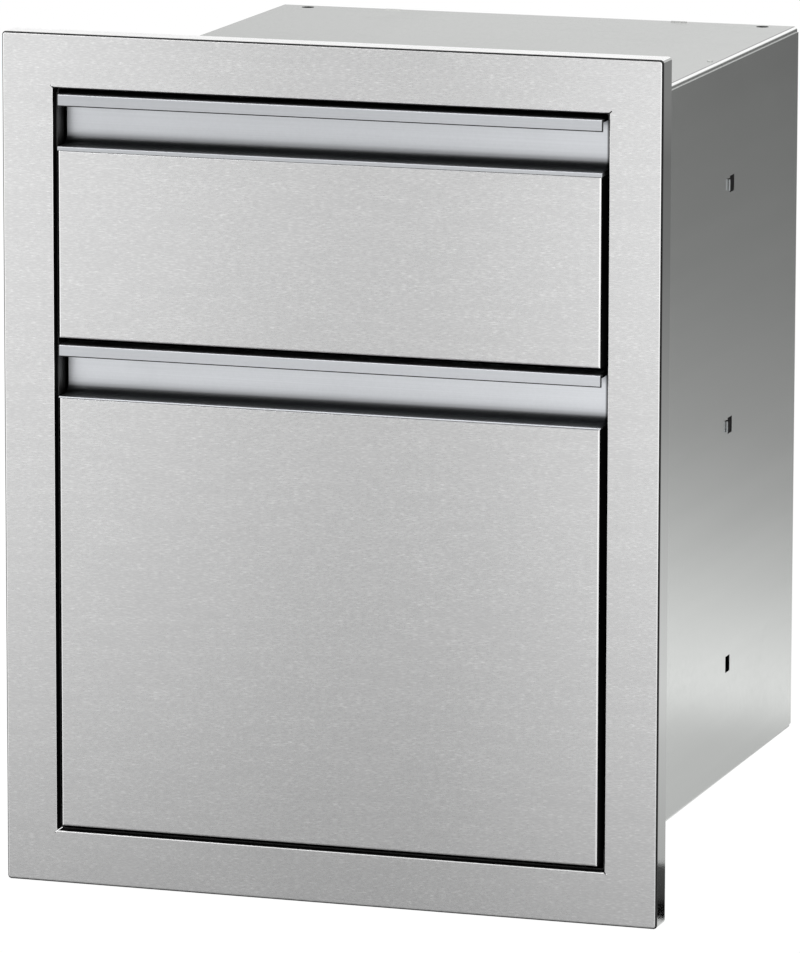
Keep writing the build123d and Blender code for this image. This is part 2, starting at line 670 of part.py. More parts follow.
def drawer_front(level, z0, z1, slide_z, pull_floor):
    """Front, pull, liner, runners and screws of one drawer."""
    z_panel_top = z1 - PULL_TRAY - pull_floor
    nodes = {
        f"{level}_front_panel": front_panel(z0, z_panel_top),
        f"{level}_pull": pull_channel(z1, z_panel_top),
        f"{level}_front_liner": front_liner(z0, z1),
        f"{level}_pull_screws": pull_screws(z1),
    }
    for side, runner in both_sides(slide_runner(slide_z)).items():
        nodes[f"{level}_{side}_slide_runner"] = runner
    screws = []
    for screw in runner_screws(slide_z):
        screws += both_sides(screw).values()
    nodes[f"{level}_runner_screws"] = screws
    return nodes


def upper_drawer():
    """Shallow utility drawer."""
    nodes = drawer_front("upper", UPPER_BOTTOM, UPPER_TOP, UPPER_SLIDE_Z, UPPER_PULL_FLOOR)
    for side, wall in both_sides(upper_wall()).items():
        nodes[f"upper_{side}_wall"] = wall
    nodes["upper_back_wall"] = upper_back_wall()
    nodes["upper_floor"] = upper_floor()
    return nodes


def lower_drawer():
    """Tall trash drawer with its bin carrier and bin."""
    nodes = drawer_front("lower", LOWER_BOTTOM, LOWER_TOP, LOWER_SLIDE_Z, LOWER_PULL_FLOOR)
    for side, rail in both_sides(carrier_side_rail()).items():
        nodes[f"carrier_{side}_rail"] = rail
    nodes["carrier_front_rail"] = carrier_front_rail()
    nodes["carrier_rear_rail"] = carrier_rear_rail()
    nodes["trash_bin"] = trash_bin()
    return nodes


pieces = {
    **cabinet(),
    **upper_drawer(),
    **lower_drawer(),
    **slide_insides("upper", UPPER_SLIDE_Z),
    **slide_insides("lower", LOWER_SLIDE_Z),
}
os.makedirs("parts", exist_ok=True)
for name, piece in pieces.items():
    solid = Compound(children=piece) if isinstance(piece, list) else piece
    export_step(solid, f"parts/{name}.step")
print(len(pieces), "nodes")
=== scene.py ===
import json
import math

import bpy
from mathutils import Matrix, Vector


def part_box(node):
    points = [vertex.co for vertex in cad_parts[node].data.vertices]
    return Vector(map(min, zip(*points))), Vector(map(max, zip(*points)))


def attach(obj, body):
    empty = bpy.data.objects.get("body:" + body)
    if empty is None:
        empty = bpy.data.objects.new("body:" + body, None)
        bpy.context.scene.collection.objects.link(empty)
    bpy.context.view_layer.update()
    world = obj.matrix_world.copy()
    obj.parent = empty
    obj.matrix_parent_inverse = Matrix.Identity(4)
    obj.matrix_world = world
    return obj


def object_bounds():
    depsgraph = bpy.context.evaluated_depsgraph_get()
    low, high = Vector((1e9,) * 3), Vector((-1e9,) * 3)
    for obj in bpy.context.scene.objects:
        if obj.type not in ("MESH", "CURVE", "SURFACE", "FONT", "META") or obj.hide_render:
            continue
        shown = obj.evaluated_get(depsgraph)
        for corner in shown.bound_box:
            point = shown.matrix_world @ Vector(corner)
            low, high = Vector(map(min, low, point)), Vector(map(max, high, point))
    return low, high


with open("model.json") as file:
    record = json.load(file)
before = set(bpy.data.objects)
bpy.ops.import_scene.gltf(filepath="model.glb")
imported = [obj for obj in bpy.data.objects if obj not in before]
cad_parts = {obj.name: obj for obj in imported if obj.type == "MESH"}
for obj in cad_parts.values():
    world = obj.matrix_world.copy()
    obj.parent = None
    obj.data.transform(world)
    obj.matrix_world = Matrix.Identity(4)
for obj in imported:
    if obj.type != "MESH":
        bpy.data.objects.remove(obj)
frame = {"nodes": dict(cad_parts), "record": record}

# Looks of the built-in trash drawer: finishes for its sheet metal, pulls, slides and bin, the bin's moulded
# details, and the studio. Lengths are in metres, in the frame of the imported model.

CAD_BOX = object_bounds()

# Camera at the photograph's angle, for an image of 800 by 953
CAMERA_PLACE = Vector((1.7344, -5.178, 1.3251))
CAMERA_YAW = math.radians(18.058)
CAMERA_PITCH = math.radians(10.602)
CAMERA_ROLL = math.radians(0.117)
CAMERA_LENS = 299.5
CAMERA_SENSOR = 36.0

# Studio
FLOOR_Z = -0.25
FLOOR_SIZE = 60.0
FLOOR_TONE = (0.86, 0.86, 0.86, 1.0)
FLOOR_WHITE_SHARE = 0.94
FLOOR_WHITE = 1.03
AMBIENT_LEVEL = 0.6

# Lamps: name, place, width, and power in watts
LAMPS = (
    ("key_lamp", (-2.2, -2.3, 2.7), 1.8, 46.0),
    ("fill_lamp", (2.8, -1.6, 2.2), 1.6, 22.0),
    ("top_lamp", (0.0, 0.4, 3.2), 5.2, 34.0),
)

# Reflection cards, seen only in the metal: heights or widths, with the tone of the card there
LEVEL = (0.0, 0.0, 0.0)
UPRIGHT = (math.pi / 2, 0.0, 0.0)
CARD_LIFT = 0.002
FRONT_CARD_Y = -0.82
FRONT_CARD_HALF = 2.4
FRONT_CARD_TOP = 1.3
FRONT_CARD_RISE = ((-0.25, 0.44), (-0.19, 0.52), (-0.09, 0.63), (0.14, 0.75), (0.37, 0.86), (0.6, 0.80))
FRONT_CARD_SPAN = ((-0.60, 0.96), (-0.44, 0.84), (-0.27, 0.66), (-0.17, 0.67), (-0.08, 0.82), (0.03, 1.0))
FRONT_CARD_STRENGTH = 1.36
FLOOR_CARD_HALF = 1.1
FLOOR_CARD_LEVEL = 0.31
SIDE_CARD_Y = 1.2
SIDE_CARD_X = (0.24, 1.5)
SIDE_CARD_TOP = 0.62
SIDE_CARD_RISE = ((-0.25, 0.60), (-0.136, 0.60), (-0.102, 0.99), (-0.085, 0.95), (0.0, 0.66), (0.06, 0.50),
                  (0.13, 0.37), (0.25, 0.27), (0.45, 0.18))
SIDE_CARD_SPAN = ((0.38, 0.90), (0.54, 1.0))
SIDE_CARD_STRENGTH = 1.30
RETURN_CARD_X = (0.555, 0.575)
RETURN_CARD_RISE = ((-0.25, 0.55), (-0.224, 0.578), (-0.149, 0.686), (-0.124, 0.80), (-0.098, 0.85),
                    (-0.05, 0.79), (0.0, 0.69), (0.053, 0.588), (0.128, 0.419), (0.204, 0.308),
                    (0.279, 0.228), (0.355, 0.206), (0.405, 0.284), (0.43, 0.294))
SIDE_FLOOR_X = (0.515, 0.62)
SIDE_FLOOR_RISE = ((0.98, 0.004), (1.03, 0.006), (1.055, 0.07), (1.168, 0.11), (1.174, 0.68), (1.2, 0.74))
REAR_CARD_Y = 2.6
REAR_CARD_X = (-2.6, 0.1)
REAR_CARD_Z = (0.62, 1.9)
REAR_CARD_SPAN = ((-1.1, 0.76), (-0.4, 0.86))

# Folds and edges of the solids that the finishes follow
FRAME_BORDER = 0.0381
FRAME_BEND = 0.0018
OPENING_BEND = 0.001
FRONT_BEND = 0.0012
LAP_BEND = 0.0026
TOP_NIB = 0.0007
NICK_REACH = 0.003
MOUTH_Y = -0.002
SIDE_SHEET_X = (0.20205, 0.20295)
SLOT_FACE_X = 0.20195
HOOK_TIP_Y = 0.2823
PULL_TRAY_DROP = 0.0367
PULL_LIP = 0.0084
PULL_WALL = 0.002

# Painted highlight and shade lines along bends: their start and end, in shares of the bend's radius
ON_BEND = 0.98
FRAME_SHINE = (0.02, 0.09)
FRAME_LINE = (0.11, 1.2)
FRAME_BACK = 0.90
FRAME_OUTSIDE = 0.5
OPENING_REACH = 1.05
FRONT_SHINE = (0.02, 0.5)
FRONT_TOP_SHADE = 0.01
FRONT_INSIDE = 0.62
LAP_START = (0.006, 0.06)
LAP_SHINE = (0.09, 0.52)

# Lines near edges, mostly painted highlights and shade, and how softly the lines end
RIM_SHINE = (0.00004, 0.00024)
RIM_SHINE_SHARE = 0.9
INSIDE_START = 0.0003
INSIDE_FOOT_STEP = 0.0004
NICK_START = 0.00004
NICK_SOFT = 0.0003
TAB_START = 0.00002
SHEET_SOFT = 0.00001
LAP_SOFT = 0.00002
SHINE_SOFT = 0.00003
FRONT_SOFT = 0.00004
LINE_SOFT = 0.00006

# Pulls: the lip's painted dark edge, the painted shade at the ends and in the tray, and depths in shares of
# the wall's thickness
LIP_EDGE_OVER = 0.0008
LIP_EDGE_UNDER = 0.0002
LIP_SOFT = 0.0001
LIP_END = 0.0005
WALL_END = (0.0027, 0.0016)
TRAY_SUNK = 0.0004
CHANNEL_DEPTH = 0.45
LIP_DEPTH = 1.1
WALL_DEPTH = 2
# Levels of the pulls: the lip painted darker as shade, the wall lighter as light
PULL_LEVELS = {"upper_pull": (0.54, 0.69), "lower_pull": (0.63, 0.79)}
# A painted light ramp along the pulls, darker to the left and lighter to the right
PULL_RAMP_REACH = 0.2
PULL_LIGHT_RAMP = (0.965, 1.045)
# Painted shade in the pull's tray, by height above its floor
PULL_TRAY_SHADE_RISE = ((0.0, 0.30), (0.0005, 0.08), (0.0012, 0.062), (0.0031, 0.058), (0.0039, 0.060),
                  (0.0046, 0.115), (0.0054, 0.30), (0.0069, 0.52), (0.0084, 0.80), (0.011, 0.92),
                  (0.016, 0.97), (0.028, 1.0))

# Ranges: what noise mostly fills, and the openness over which gaps shut
NOISE_RANGE = (0.3, 0.7)
PLATE_RANGE = (0.32, 0.68)
FRONT_GAPS = {"Distance": 0.03, "Open": 0.80, "Shut": 0.40}
FRONT_SHUT = (0.995, 0.90)
WALL_END_SHUT = (0.97, 0.88)
MOUTH_OPEN = (0.30, 0.65)

# Brushed steel
GRAIN_STRETCH = (240.0, 900.0, 1500.0)
STREAK_POWER = 3.2
STEEL_DARK = (0.656, 0.656, 0.658, 1.0)
STEEL_LIGHT = (0.972, 0.972, 0.969, 1.0)
STEEL_SMUDGED = (0.62, 0.62, 0.61, 1.0)
STEEL_SHADED_RETURN = (0.41, 0.42, 0.41, 1.0)
STEEL_TOP_BEND_SHADE = (0.52, 0.52, 0.525, 1.0)
STEEL_WEAR_AND_SHEEN = 0.84
STEEL_PAINTED_HIGHLIGHT = 0.97
STEEL_PAINTED_SHADE = 0.02
STEEL_INSIDE_SHADE = 0.012
STEEL_NICK_SHADE = 0.004
RETURN_ROUGHNESS = 0.035
DARK_ROUGHNESS = 0.6

# Rolled sheet
SHEET_STRETCH = (160.0, 9.0, 700.0)
SHEET_PIT = (0.42, 0.43, 0.42, 1.0)
SHEET_WEAR_AND_SHEEN = (0.84, 0.85, 0.84, 1.0)
SHEET_TAB = (0.94, 0.94, 0.93, 1.0)
SHEET_LAP_SHADE = 0.16
SHEET_SHEARED_GLINT = 0.80
SHEET_GAP_SHADE = 0.03
MOUTH_SHADE_TONES = (0.012, 0.20)
BOX_LIGHT = (0.510, 0.525, 0.510, 1.0)
BOX_DARK = (0.490, 0.505, 0.490, 1.0)
BOX_WAVE = 0.0008
DRAWER_LIGHT = (0.58, 0.59, 0.59, 1.0)
DRAWER_DARK = (0.55, 0.56, 0.56, 1.0)
DRAWER_WAVE = 0.0005

# Aluminium
DIE_STRETCH = (5.0, 1600.0, 1600.0)
ALUMINIUM_TINT = (0.975, 1.0, 1.04)
ALUMINIUM_SMUDGED = (0.52, 0.53, 0.54, 1.0)
ALUMINIUM_WEAR_AND_SHEEN = (0.70, 0.71, 0.73, 1.0)
ALUMINIUM_GAP_SHADE = 0.03
LIP_EDGE_DARK = 0.05

# Slides, screws, stops and bin
PLATE_STRETCH = (900.0, 6.0, 900.0)
SLIDE_LIGHT = (0.62, 0.64, 0.66, 1.0)
SLIDE_DARK = (0.46, 0.48, 0.50, 1.0)
CAGE_LIGHT = (0.55, 0.55, 0.54, 1.0)
CAGE_DARK = (0.38, 0.38, 0.37, 1.0)
PLATE_SCRATCH = (0.78, 0.78, 0.77, 1.0)
PLATE_WEAR_AND_SHEEN = 0.80
PLATE_GREASE_AND_SHADE = (0.05, 0.045, 0.04, 1.0)
SLOT_SHADE = 0.010
BALL_CLEAN = (0.74, 0.74, 0.75, 1.0)
BALL_GREASE = (0.46, 0.44, 0.38, 1.0)
SCREW_DARK = (0.50, 0.50, 0.51, 1.0)
SCREW_LIGHT = 0.70
SCREW_WEAR_AND_SHEEN = 0.85
SCREW_GAP_SHADE = 0.04
RUBBER_DARK = (0.014, 0.014, 0.015, 1.0)
RUBBER_BLOOM = 0.05
BIN_DARK = (0.030, 0.031, 0.033, 1.0)
BIN_LIGHT = (0.046, 0.047, 0.050, 1.0)
BIN_SCRATCH = 0.13
BIN_WEAR_AND_SHEEN = 0.12

# Bin details
BIN_RIM = 0.011
BIN_RIM_CORNER = 0.045
BIN_WALL = 0.0025
BIN_TAPER = 0.015
BIN_SUNK = 0.0003
CORNER_SEGMENTS = 12
SMOOTH_ANGLE = math.radians(35)
BEAD_INSET = 0.0021
BEAD_WIDTH = 0.0034
BEAD_HEIGHT = 0.0016
BEAD_EASE = {"width": 0.0007, "segments": 3, "angle_limit": math.radians(40)}
GRIP_COUNT = 15
GRIP_PITCH = 0.0065
GRIP_SIZE = (0.0034, 0.0046, 0.0018)
GRIP_EASE = {"width": 0.0008, "segments": 3}
FLUTE_Y = 0.06
FLUTE_COUNT = 5
FLUTE_SIZE = (0.0032, 0.012, 0.170)
FLUTE_FOOT = 0.085
FLUTE_EASE = {"width": 0.0014, "segments": 4}
PAD_INSET = 0.034
PAD_CORNER = 0.02
PAD_BORDER = 0.012
PAD_HEIGHT = 0.0016
PAD_EASE = {"width": 0.0006, "segments": 3, "angle_limit": math.radians(20)}


# Node helpers

def node(tree, kind, inputs=None, **options):
    """Adds a shader node with its options, and sets or links the inputs given by name or number."""
    made = tree.nodes.new("ShaderNode" + kind)
    for option, value in options.items():
        setattr(made, option, value)
    set_inputs(tree, made, inputs or {})
    return made


def set_inputs(tree, made, inputs):
    for name, value in inputs.items():
        socket = made.inputs[name]
        if isinstance(value, bpy.types.NodeSocket):
            tree.links.new(value, socket)
        else:
            socket.default_value = value


def calc(tree, operation, first, second=0.0):
    return node(tree, "Math", {0: first, 1: second}, operation=operation).outputs[0]


def product(tree, first, second):
    return calc(tree, "MULTIPLY", first, second)


def below(tree, value, limit):
    return calc(tree, "LESS_THAN", value, limit)


def above(tree, value, limit):
    return calc(tree, "GREATER_THAN", value, limit)


def fit(tree, value, low, high, to_low=0.0, to_high=1.0):
    """Maps a value from low..high to to_low..to_high, held at the ends."""
    sockets = {"Value": value, "From Min": low, "From Max": high, "To Min": to_low, "To Max": to_high}
    return node(tree, "MapRange", sockets).outputs[0]


def between(tree, value, low, high, soft):
    """1 where a value lies from low to high, with soft ends."""
    return product(tree, fit(tree, value, low - soft, low), fit(tree, value, high + soft, high))


def along_bend(tree, depth, bend, shares, soft):
    """A line along a bend, from one share of its radius to another."""
    return between(tree, depth, bend * shares[0], bend * shares[1], soft)


def weigh(tree, first, second, share):
    """A share of the first value, with the rest from the second."""
    return calc(tree, "ADD", product(tree, first, share), product(tree, second, 1.0 - share))


def add_share(tree, value, mask, share):
    """A value with a share of a mask added."""
    return calc(tree, "ADD", value, product(tree, mask, share))


def multiply(tree, first, second):
    """The product of two colours or vectors."""
    return node(tree, "VectorMath", {0: first, 1: second}, operation="MULTIPLY").outputs[0]


def grey(level):
    return (level, level, level, 1.0)


def blend(tree, share, first, second):
    return node(tree, "Mix", {0: share, 6: first, 7: second}, data_type="RGBA").outputs[2]


def tint(tree, colour, mask, share, second):
    """A colour with a share of a second one brought in where the mask is."""
    return blend(tree, product(tree, mask, share), colour, second)


def tone_ramp(tree, value, stops):
    """Tone along a value, through the stops (value, tone)."""
    low, high = stops[0][0], stops[-1][0]
    ramp = node(tree, "ValToRGB", {0: fit(tree, value, low, high)})
    ramp.color_ramp.interpolation = "LINEAR"
    elements = ramp.color_ramp.elements
    while len(elements) < len(stops):
        elements.new(0.5)
    for element, (place, _) in zip(elements, stops):
        element.position = (place - low) / (high - low)
    for element, (_, tone) in zip(elements, stops):
        element.color = grey(tone)
    return ramp.outputs[0]


def group_tree(name, inputs, outputs):
    """An empty shader node group with its sockets; returns the tree, its input node and its output node."""
    tree = bpy.data.node_groups.new(name, "ShaderNodeTree")
    for socket, kind in inputs.items():
        tree.interface.new_socket(socket, in_out="INPUT", socket_type="NodeSocket" + kind)
    for socket, kind in outputs.items():
        tree.interface.new_socket(socket, in_out="OUTPUT", socket_type="NodeSocket" + kind)
    return tree, tree.nodes.new("NodeGroupInput"), tree.nodes.new("NodeGroupOutput")


def use_group(tree, group, inputs):
    made = tree.nodes.new("ShaderNodeGroup")
    made.node_tree = group
    set_inputs(tree, made, inputs)
    return made.outputs


# Shared effects

def make_grain_group():
    """Fine parallel grain, drawn out along the direction of the smallest stretch."""
    tree, entry, leave = group_tree(
        "drawn_grain", {"Vector": "Vector", "Stretch": "Vector"}, {"Grain": "Float", "Bands": "Float"})
    stretched = multiply(tree, entry.outputs["Vector"], entry.outputs["Stretch"])
    fine = node(tree, "TexNoise", {"Vector": stretched, "Scale": 1.0, "Detail": 4.0, "Roughness": 0.65})
    broad = node(tree, "TexNoise", {"Vector": stretched, "Scale": 0.09, "Detail": 3.0, "Roughness": 0.6})
    tree.links.new(fine.outputs[0], leave.inputs["Grain"])
    tree.links.new(broad.outputs[0], leave.inputs["Bands"])
    return tree


def make_smudge_group():
    """Soft patches where hands and cloths have dulled the surface."""
    tree, entry, leave = group_tree(
        "hand_smudges", {"Vector": "Vector", "Scale": "Float"}, {"Smudge": "Float"})
    vector, scale = entry.outputs["Vector"], entry.outputs["Scale"]
    patches = node(tree, "TexNoise", {"Vector": vector, "Scale": scale, "Detail": 3.0, "Roughness": 0.55,
                                      "Distortion": 0.6})
    spread = fit(tree, patches.outputs[0], 0.46, 0.70)
    fingers = node(tree, "TexNoise", {"Vector": vector, "Scale": product(tree, scale, 9.0), "Detail": 2.0})
    marks = fit(tree, fingers.outputs[0], 0.42, 0.66, 0.35, 1.0)
    tree.links.new(product(tree, spread, marks), leave.inputs["Smudge"])
    return tree


def make_scratch_group():
    """Sparse hairline scratches in two crossing directions."""
    tree, entry, leave = group_tree(
        "hairline_scratches", {"Vector": "Vector", "Amount": "Float"}, {"Scratch": "Float"})
    lines = []
    for turn in ((0.3, 0.9, 0.5), (-0.7, -0.4, -1.1)):
        turned = node(tree, "Mapping", {"Vector": entry.outputs["Vector"], "Rotation": turn,
                                        "Scale": (6.0, 420.0, 420.0)}).outputs[0]
        streak = node(tree, "TexNoise", {"Vector": turned, "Scale": 1.0, "Detail": 1.0}).outputs[0]
        lines.append(fit(tree, streak, 0.70, 0.76))
    crossed = calc(tree, "MAXIMUM", lines[0], lines[1])
    tree.links.new(product(tree, crossed, entry.outputs["Amount"]), leave.inputs["Scratch"])
    return tree


def make_speck_group():
    """Tiny pits and grit in rolled sheet, or the stipple of a moulded skin."""
    tree, entry, leave = group_tree(
        "fine_specks", {"Vector": "Vector", "Scale": "Float"}, {"Speck": "Float", "Mottle": "Float"})
    vector, scale = entry.outputs["Vector"], entry.outputs["Scale"]
    cells = node(tree, "TexVoronoi", {"Vector": vector, "Scale": scale, "Randomness": 1.0})
    specks = fit(tree, cells.outputs["Distance"], 0.16, 0.05)
    chosen = node(tree, "SeparateColor", {0: cells.outputs["Color"]}).outputs[0]
    few = above(tree, chosen, 0.62)
    mottle = node(tree, "TexNoise", {"Vector": vector, "Scale": product(tree, scale, 0.5), "Detail": 4.0,
                                     "Roughness": 0.7})
    tree.links.new(product(tree, specks, few), leave.inputs["Speck"])
    tree.links.new(mottle.outputs[0], leave.inputs["Mottle"])
    return tree


def make_wear_and_sheen_edge_group():
    """Where the surface turns over an edge or bend, which handling polishes and a painted sheen brightens."""
    tree, entry, leave = group_tree("wear_and_sheen_edges", {"Radius": "Float"}, {"Edge": "Float"})
    eased = node(tree, "Bevel", {"Radius": entry.outputs["Radius"]}, samples=6)
    facing = node(tree, "NewGeometry").outputs["Normal"]
    same = node(tree, "VectorMath", {0: eased.outputs[0], 1: facing}, operation="DOT_PRODUCT")
    tree.links.new(fit(tree, same.outputs["Value"], 0.985, 0.86), leave.inputs["Edge"])
    return tree


def make_gap_shade_group():
    """Narrow gaps and inner corners, found by occlusion, for painted shade; also how open each place is."""
    tree, entry, leave = group_tree(
        "painted_gap_shade", {"Distance": "Float", "Open": "Float", "Shut": "Float"},
        {"Painted Shade": "Float", "Openness": "Float"})
    around = node(tree, "AmbientOcclusion", {"Distance": entry.outputs["Distance"]}, samples=8)
    openness = around.outputs["AO"]
    shade = fit(tree, openness, entry.outputs["Open"], entry.outputs["Shut"])
    tree.links.new(shade, leave.inputs["Painted Shade"])
    tree.links.new(openness, leave.inputs["Openness"])
    return tree


GRAIN = make_grain_group()
SMUDGES = make_smudge_group()
SCRATCHES = make_scratch_group()
SPECKS = make_speck_group()
WEAR_AND_SHEEN_EDGES = make_wear_and_sheen_edge_group()
GAP_SHADE_GROUP = make_gap_shade_group()


# Finishes

def new_finish(name, metallic, roughness):
    """A material; returns it with its tree, its Principled shader and the object coordinates."""
    material = bpy.data.materials.new(name)
    material.use_nodes = True
    tree = material.node_tree
    shader = tree.nodes["Principled BSDF"]
    shader.inputs["Metallic"].default_value = metallic
    shader.inputs["Roughness"].default_value = roughness
    place = node(tree, "TexCoord").outputs["Object"]
    return material, tree, shader, place


def finish_colour(tree, shader, colour, roughness):
    tree.links.new(colour, shader.inputs["Base Color"])
    tree.links.new(roughness, shader.inputs["Roughness"])


def finish_bump(tree, shader, height, strength, depth):
    bump = node(tree, "Bump", {"Height": height, "Strength": strength, "Distance": depth})
    tree.links.new(bump.outputs[0], shader.inputs["Normal"])


def axes_of(tree, place):
    return node(tree, "SeparateXYZ", {0: place}).outputs


def fold_places(tree, place, name):
    """Distances on a folded sheet: in from its sides, its top and its foot, and behind its face."""
    low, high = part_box(name)
    axes = axes_of(tree, place)
    return {
        "side": calc(tree, "SUBTRACT", high.x, calc(tree, "ABSOLUTE", axes["X"])),
        "top": calc(tree, "SUBTRACT", high.z, axes["Z"]),
        "foot": calc(tree, "SUBTRACT", axes["Z"], low.z),
        "depth": calc(tree, "SUBTRACT", axes["Y"], low.y),
    }


def frame_masks(tree, place):
    """Masks on the face frame: painted highlight and dark lines along the bends, the returns outside (the top
    one painted light, the sides painted in shade) and in the opening (painted shade), and the nicks (painted
    shade).
    """
    at = fold_places(tree, place, "face_frame")
    to_edge = calc(tree, "MINIMUM", at["top"], at["foot"])
    to_rim = calc(tree, "MINIMUM", at["side"], to_edge)
    on_rim = below(tree, to_rim, FRAME_BEND * ON_BEND)
    on_side = below(tree, at["side"], FRAME_BEND * ON_BEND)
    shine = product(tree, along_bend(tree, at["depth"], FRAME_BEND, FRAME_SHINE, SHINE_SOFT), on_side)
    line = product(tree, along_bend(tree, at["depth"], FRAME_BEND, FRAME_LINE, LINE_SOFT), on_rim)
    back = above(tree, at["depth"], FRAME_BEND * FRAME_BACK)
    top_return = product(tree, below(tree, at["top"], FRAME_BEND * FRAME_OUTSIDE), back)
    side_return = product(tree, below(tree, at["side"], FRAME_BEND * FRAME_OUTSIDE), back)
    to_hole = calc(tree, "SUBTRACT", FRAME_BORDER, to_rim)
    by_hole = below(tree, to_hole, OPENING_BEND * OPENING_REACH)
    at_foot = below(tree, at["foot"], FRAME_BORDER + FRAME_BEND)
    turn = calc(tree, "ADD", product(tree, at_foot, INSIDE_FOOT_STEP), INSIDE_START)
    inside = product(tree, above(tree, at["depth"], turn), by_hole)
    # Painted highlight on the bends into the opening
    rim_shine = product(tree, between(tree, at["depth"], *RIM_SHINE, SHINE_SOFT), by_hole)
    shine = calc(tree, "MAXIMUM", shine, product(tree, rim_shine, RIM_SHINE_SHARE))
    corner = (FRAME_BORDER - NICK_REACH, FRAME_BORDER, NICK_SOFT)
    at_nick = product(tree, between(tree, at["side"], *corner), between(tree, to_edge, *corner))
    nick = product(tree, at_nick, above(tree, at["depth"], NICK_START))
    return {"shine": shine, "line": line, "top": top_return, "side": side_return, "inside": inside,
            "nick": nick}


def front_masks(tree, place, name):
    """Masks on a drawer front: painted highlights on the bends at its sides, painted shade on the bend on
    top, and painted shade on the returns behind.
    """
    at = fold_places(tree, place, name)
    on_side = below(tree, at["side"], FRONT_BEND * ON_BEND)
    shine = product(tree, along_bend(tree, at["depth"], FRONT_BEND, FRONT_SHINE, FRONT_SOFT), on_side)
    on_top = below(tree, at["top"], FRONT_BEND)
    top_shade = product(tree, on_top, above(tree, at["depth"], FRONT_BEND * FRONT_TOP_SHADE))
    inside = above(tree, at["depth"], FRONT_BEND * FRONT_INSIDE)
    return {"shine": shine, "top_shade": top_shade, "inside": inside}


def brushed_steel(name):
    """Face frame or drawer front: level grain from side to side, painted highlights on the bends, painted
    shade in the gaps.
    """
    material, tree, shader, place = new_finish("brushed_" + name, metallic=1.0, roughness=0.28)
    grain = use_group(tree, GRAIN, {"Vector": place, "Stretch": GRAIN_STRETCH})
    smudge = use_group(tree, SMUDGES, {"Vector": place, "Scale": 7.0})["Smudge"]
    edge = use_group(tree, WEAR_AND_SHEEN_EDGES, {"Radius": 0.0012})["Edge"]
    gaps = use_group(tree, GAP_SHADE_GROUP, FRONT_GAPS)
    level = fit(tree, weigh(tree, grain["Grain"], grain["Bands"], share=0.85), *NOISE_RANGE)
    colour = blend(tree, calc(tree, "POWER", level, STREAK_POWER), STEEL_DARK, STEEL_LIGHT)
    colour = tint(tree, colour, smudge, share=0.08, second=STEEL_SMUDGED)
    # Edges: partly wear, partly a painted sheen
    colour = tint(tree, colour, edge, share=0.3, second=grey(STEEL_WEAR_AND_SHEEN))
    # Painted shade in narrow gaps and inner corners
    colour = blend(tree, gaps["Painted Shade"], colour, grey(STEEL_PAINTED_SHADE))
    rough = fit(tree, grain["Grain"], *NOISE_RANGE, to_low=0.25, to_high=0.31)
    rough = add_share(tree, rough, smudge, share=0.04)
    if name == "face_frame":
        masks = frame_masks(tree, place)
        # Painted highlight on the top return, painted shade on the side returns, and a painted dark line
        # along the outer bends
        colour = blend(tree, masks["top"], colour, grey(STEEL_PAINTED_HIGHLIGHT))
        colour = blend(tree, masks["side"], colour, STEEL_SHADED_RETURN)
        colour = blend(tree, masks["line"], colour, grey(STEEL_PAINTED_SHADE))
        rough = fit(tree, masks["side"], 0.0, 1.0, to_low=rough, to_high=RETURN_ROUGHNESS)
    else:
        masks = front_masks(tree, place, name)
        # Painted shade on the top bend
        colour = blend(tree, masks["top_shade"], colour, STEEL_TOP_BEND_SHADE)
    # Painted shade on the returns behind the face, fading out as the drawers open
    inside = product(tree, masks["inside"], fit(tree, gaps["Openness"], *FRONT_SHUT))
    colour = blend(tree, inside, colour, grey(STEEL_INSIDE_SHADE))
    rough = add_share(tree, rough, inside, DARK_ROUGHNESS)
    # Painted highlight along the side bends and the bends into the opening
    colour = blend(tree, masks["shine"], colour, grey(STEEL_PAINTED_HIGHLIGHT))
    if name == "face_frame":
        # Painted shade in the nicks at the opening's corners
        colour = blend(tree, masks["nick"], colour, grey(STEEL_NICK_SHADE))
        rough = add_share(tree, rough, masks["nick"], DARK_ROUGHNESS)
    finish_colour(tree, shader, colour, rough)
    finish_bump(tree, shader, grain["Grain"], strength=0.05, depth=0.0001)
    shader.inputs["Anisotropic"].default_value = 0.6
    across = node(tree, "Tangent", direction_type="RADIAL", axis="X")
    tree.links.new(across.outputs[0], shader.inputs["Tangent"])
    return material


def lap_lines(tree, place):
    """The bends along both sides of the top panel: a painted dark line at their start, then a painted
    highlight.
    """
    at = fold_places(tree, place, "top_panel")
    to_top = calc(tree, "SUBTRACT", at["top"], TOP_NIB)
    on_side = below(tree, at["side"], LAP_BEND * ON_BEND)
    start = along_bend(tree, to_top, LAP_BEND, LAP_START, LAP_SOFT)
    shine = along_bend(tree, to_top, LAP_BEND, LAP_SHINE, LINE_SOFT)
    return product(tree, start, on_side), product(tree, shine, on_side)


def proud_tabs(tree, place):
    """The sheared, bright ends of the tabs that stand above the top panel."""
    sheet_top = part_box("top_panel")[1].z - TOP_NIB
    return above(tree, axes_of(tree, place)["Z"], sheet_top + TAB_START)


def box_masks(tree, place):
    """On the box's sheets: the mouth that the fronts close, with painted shade in it, and the slots' sheared
    edges, painted bright as a glint.
    """
    axes = axes_of(tree, place)
    at_mouth = below(tree, axes["Y"], MOUTH_Y)
    openness = use_group(tree, GAP_SHADE_GROUP, FRONT_GAPS)["Openness"]
    mouth = product(tree, at_mouth, fit(tree, openness, *FRONT_SHUT))
    dark, light = MOUTH_SHADE_TONES
    shade = blend(tree, fit(tree, openness, *MOUTH_OPEN), grey(dark), grey(light))
    in_sheet = between(tree, calc(tree, "ABSOLUTE", axes["X"]), *SIDE_SHEET_X, SHEET_SOFT)
    sheared = product(tree, in_sheet, calc(tree, "SUBTRACT", 1.0, at_mouth))
    return mouth, shade, sheared


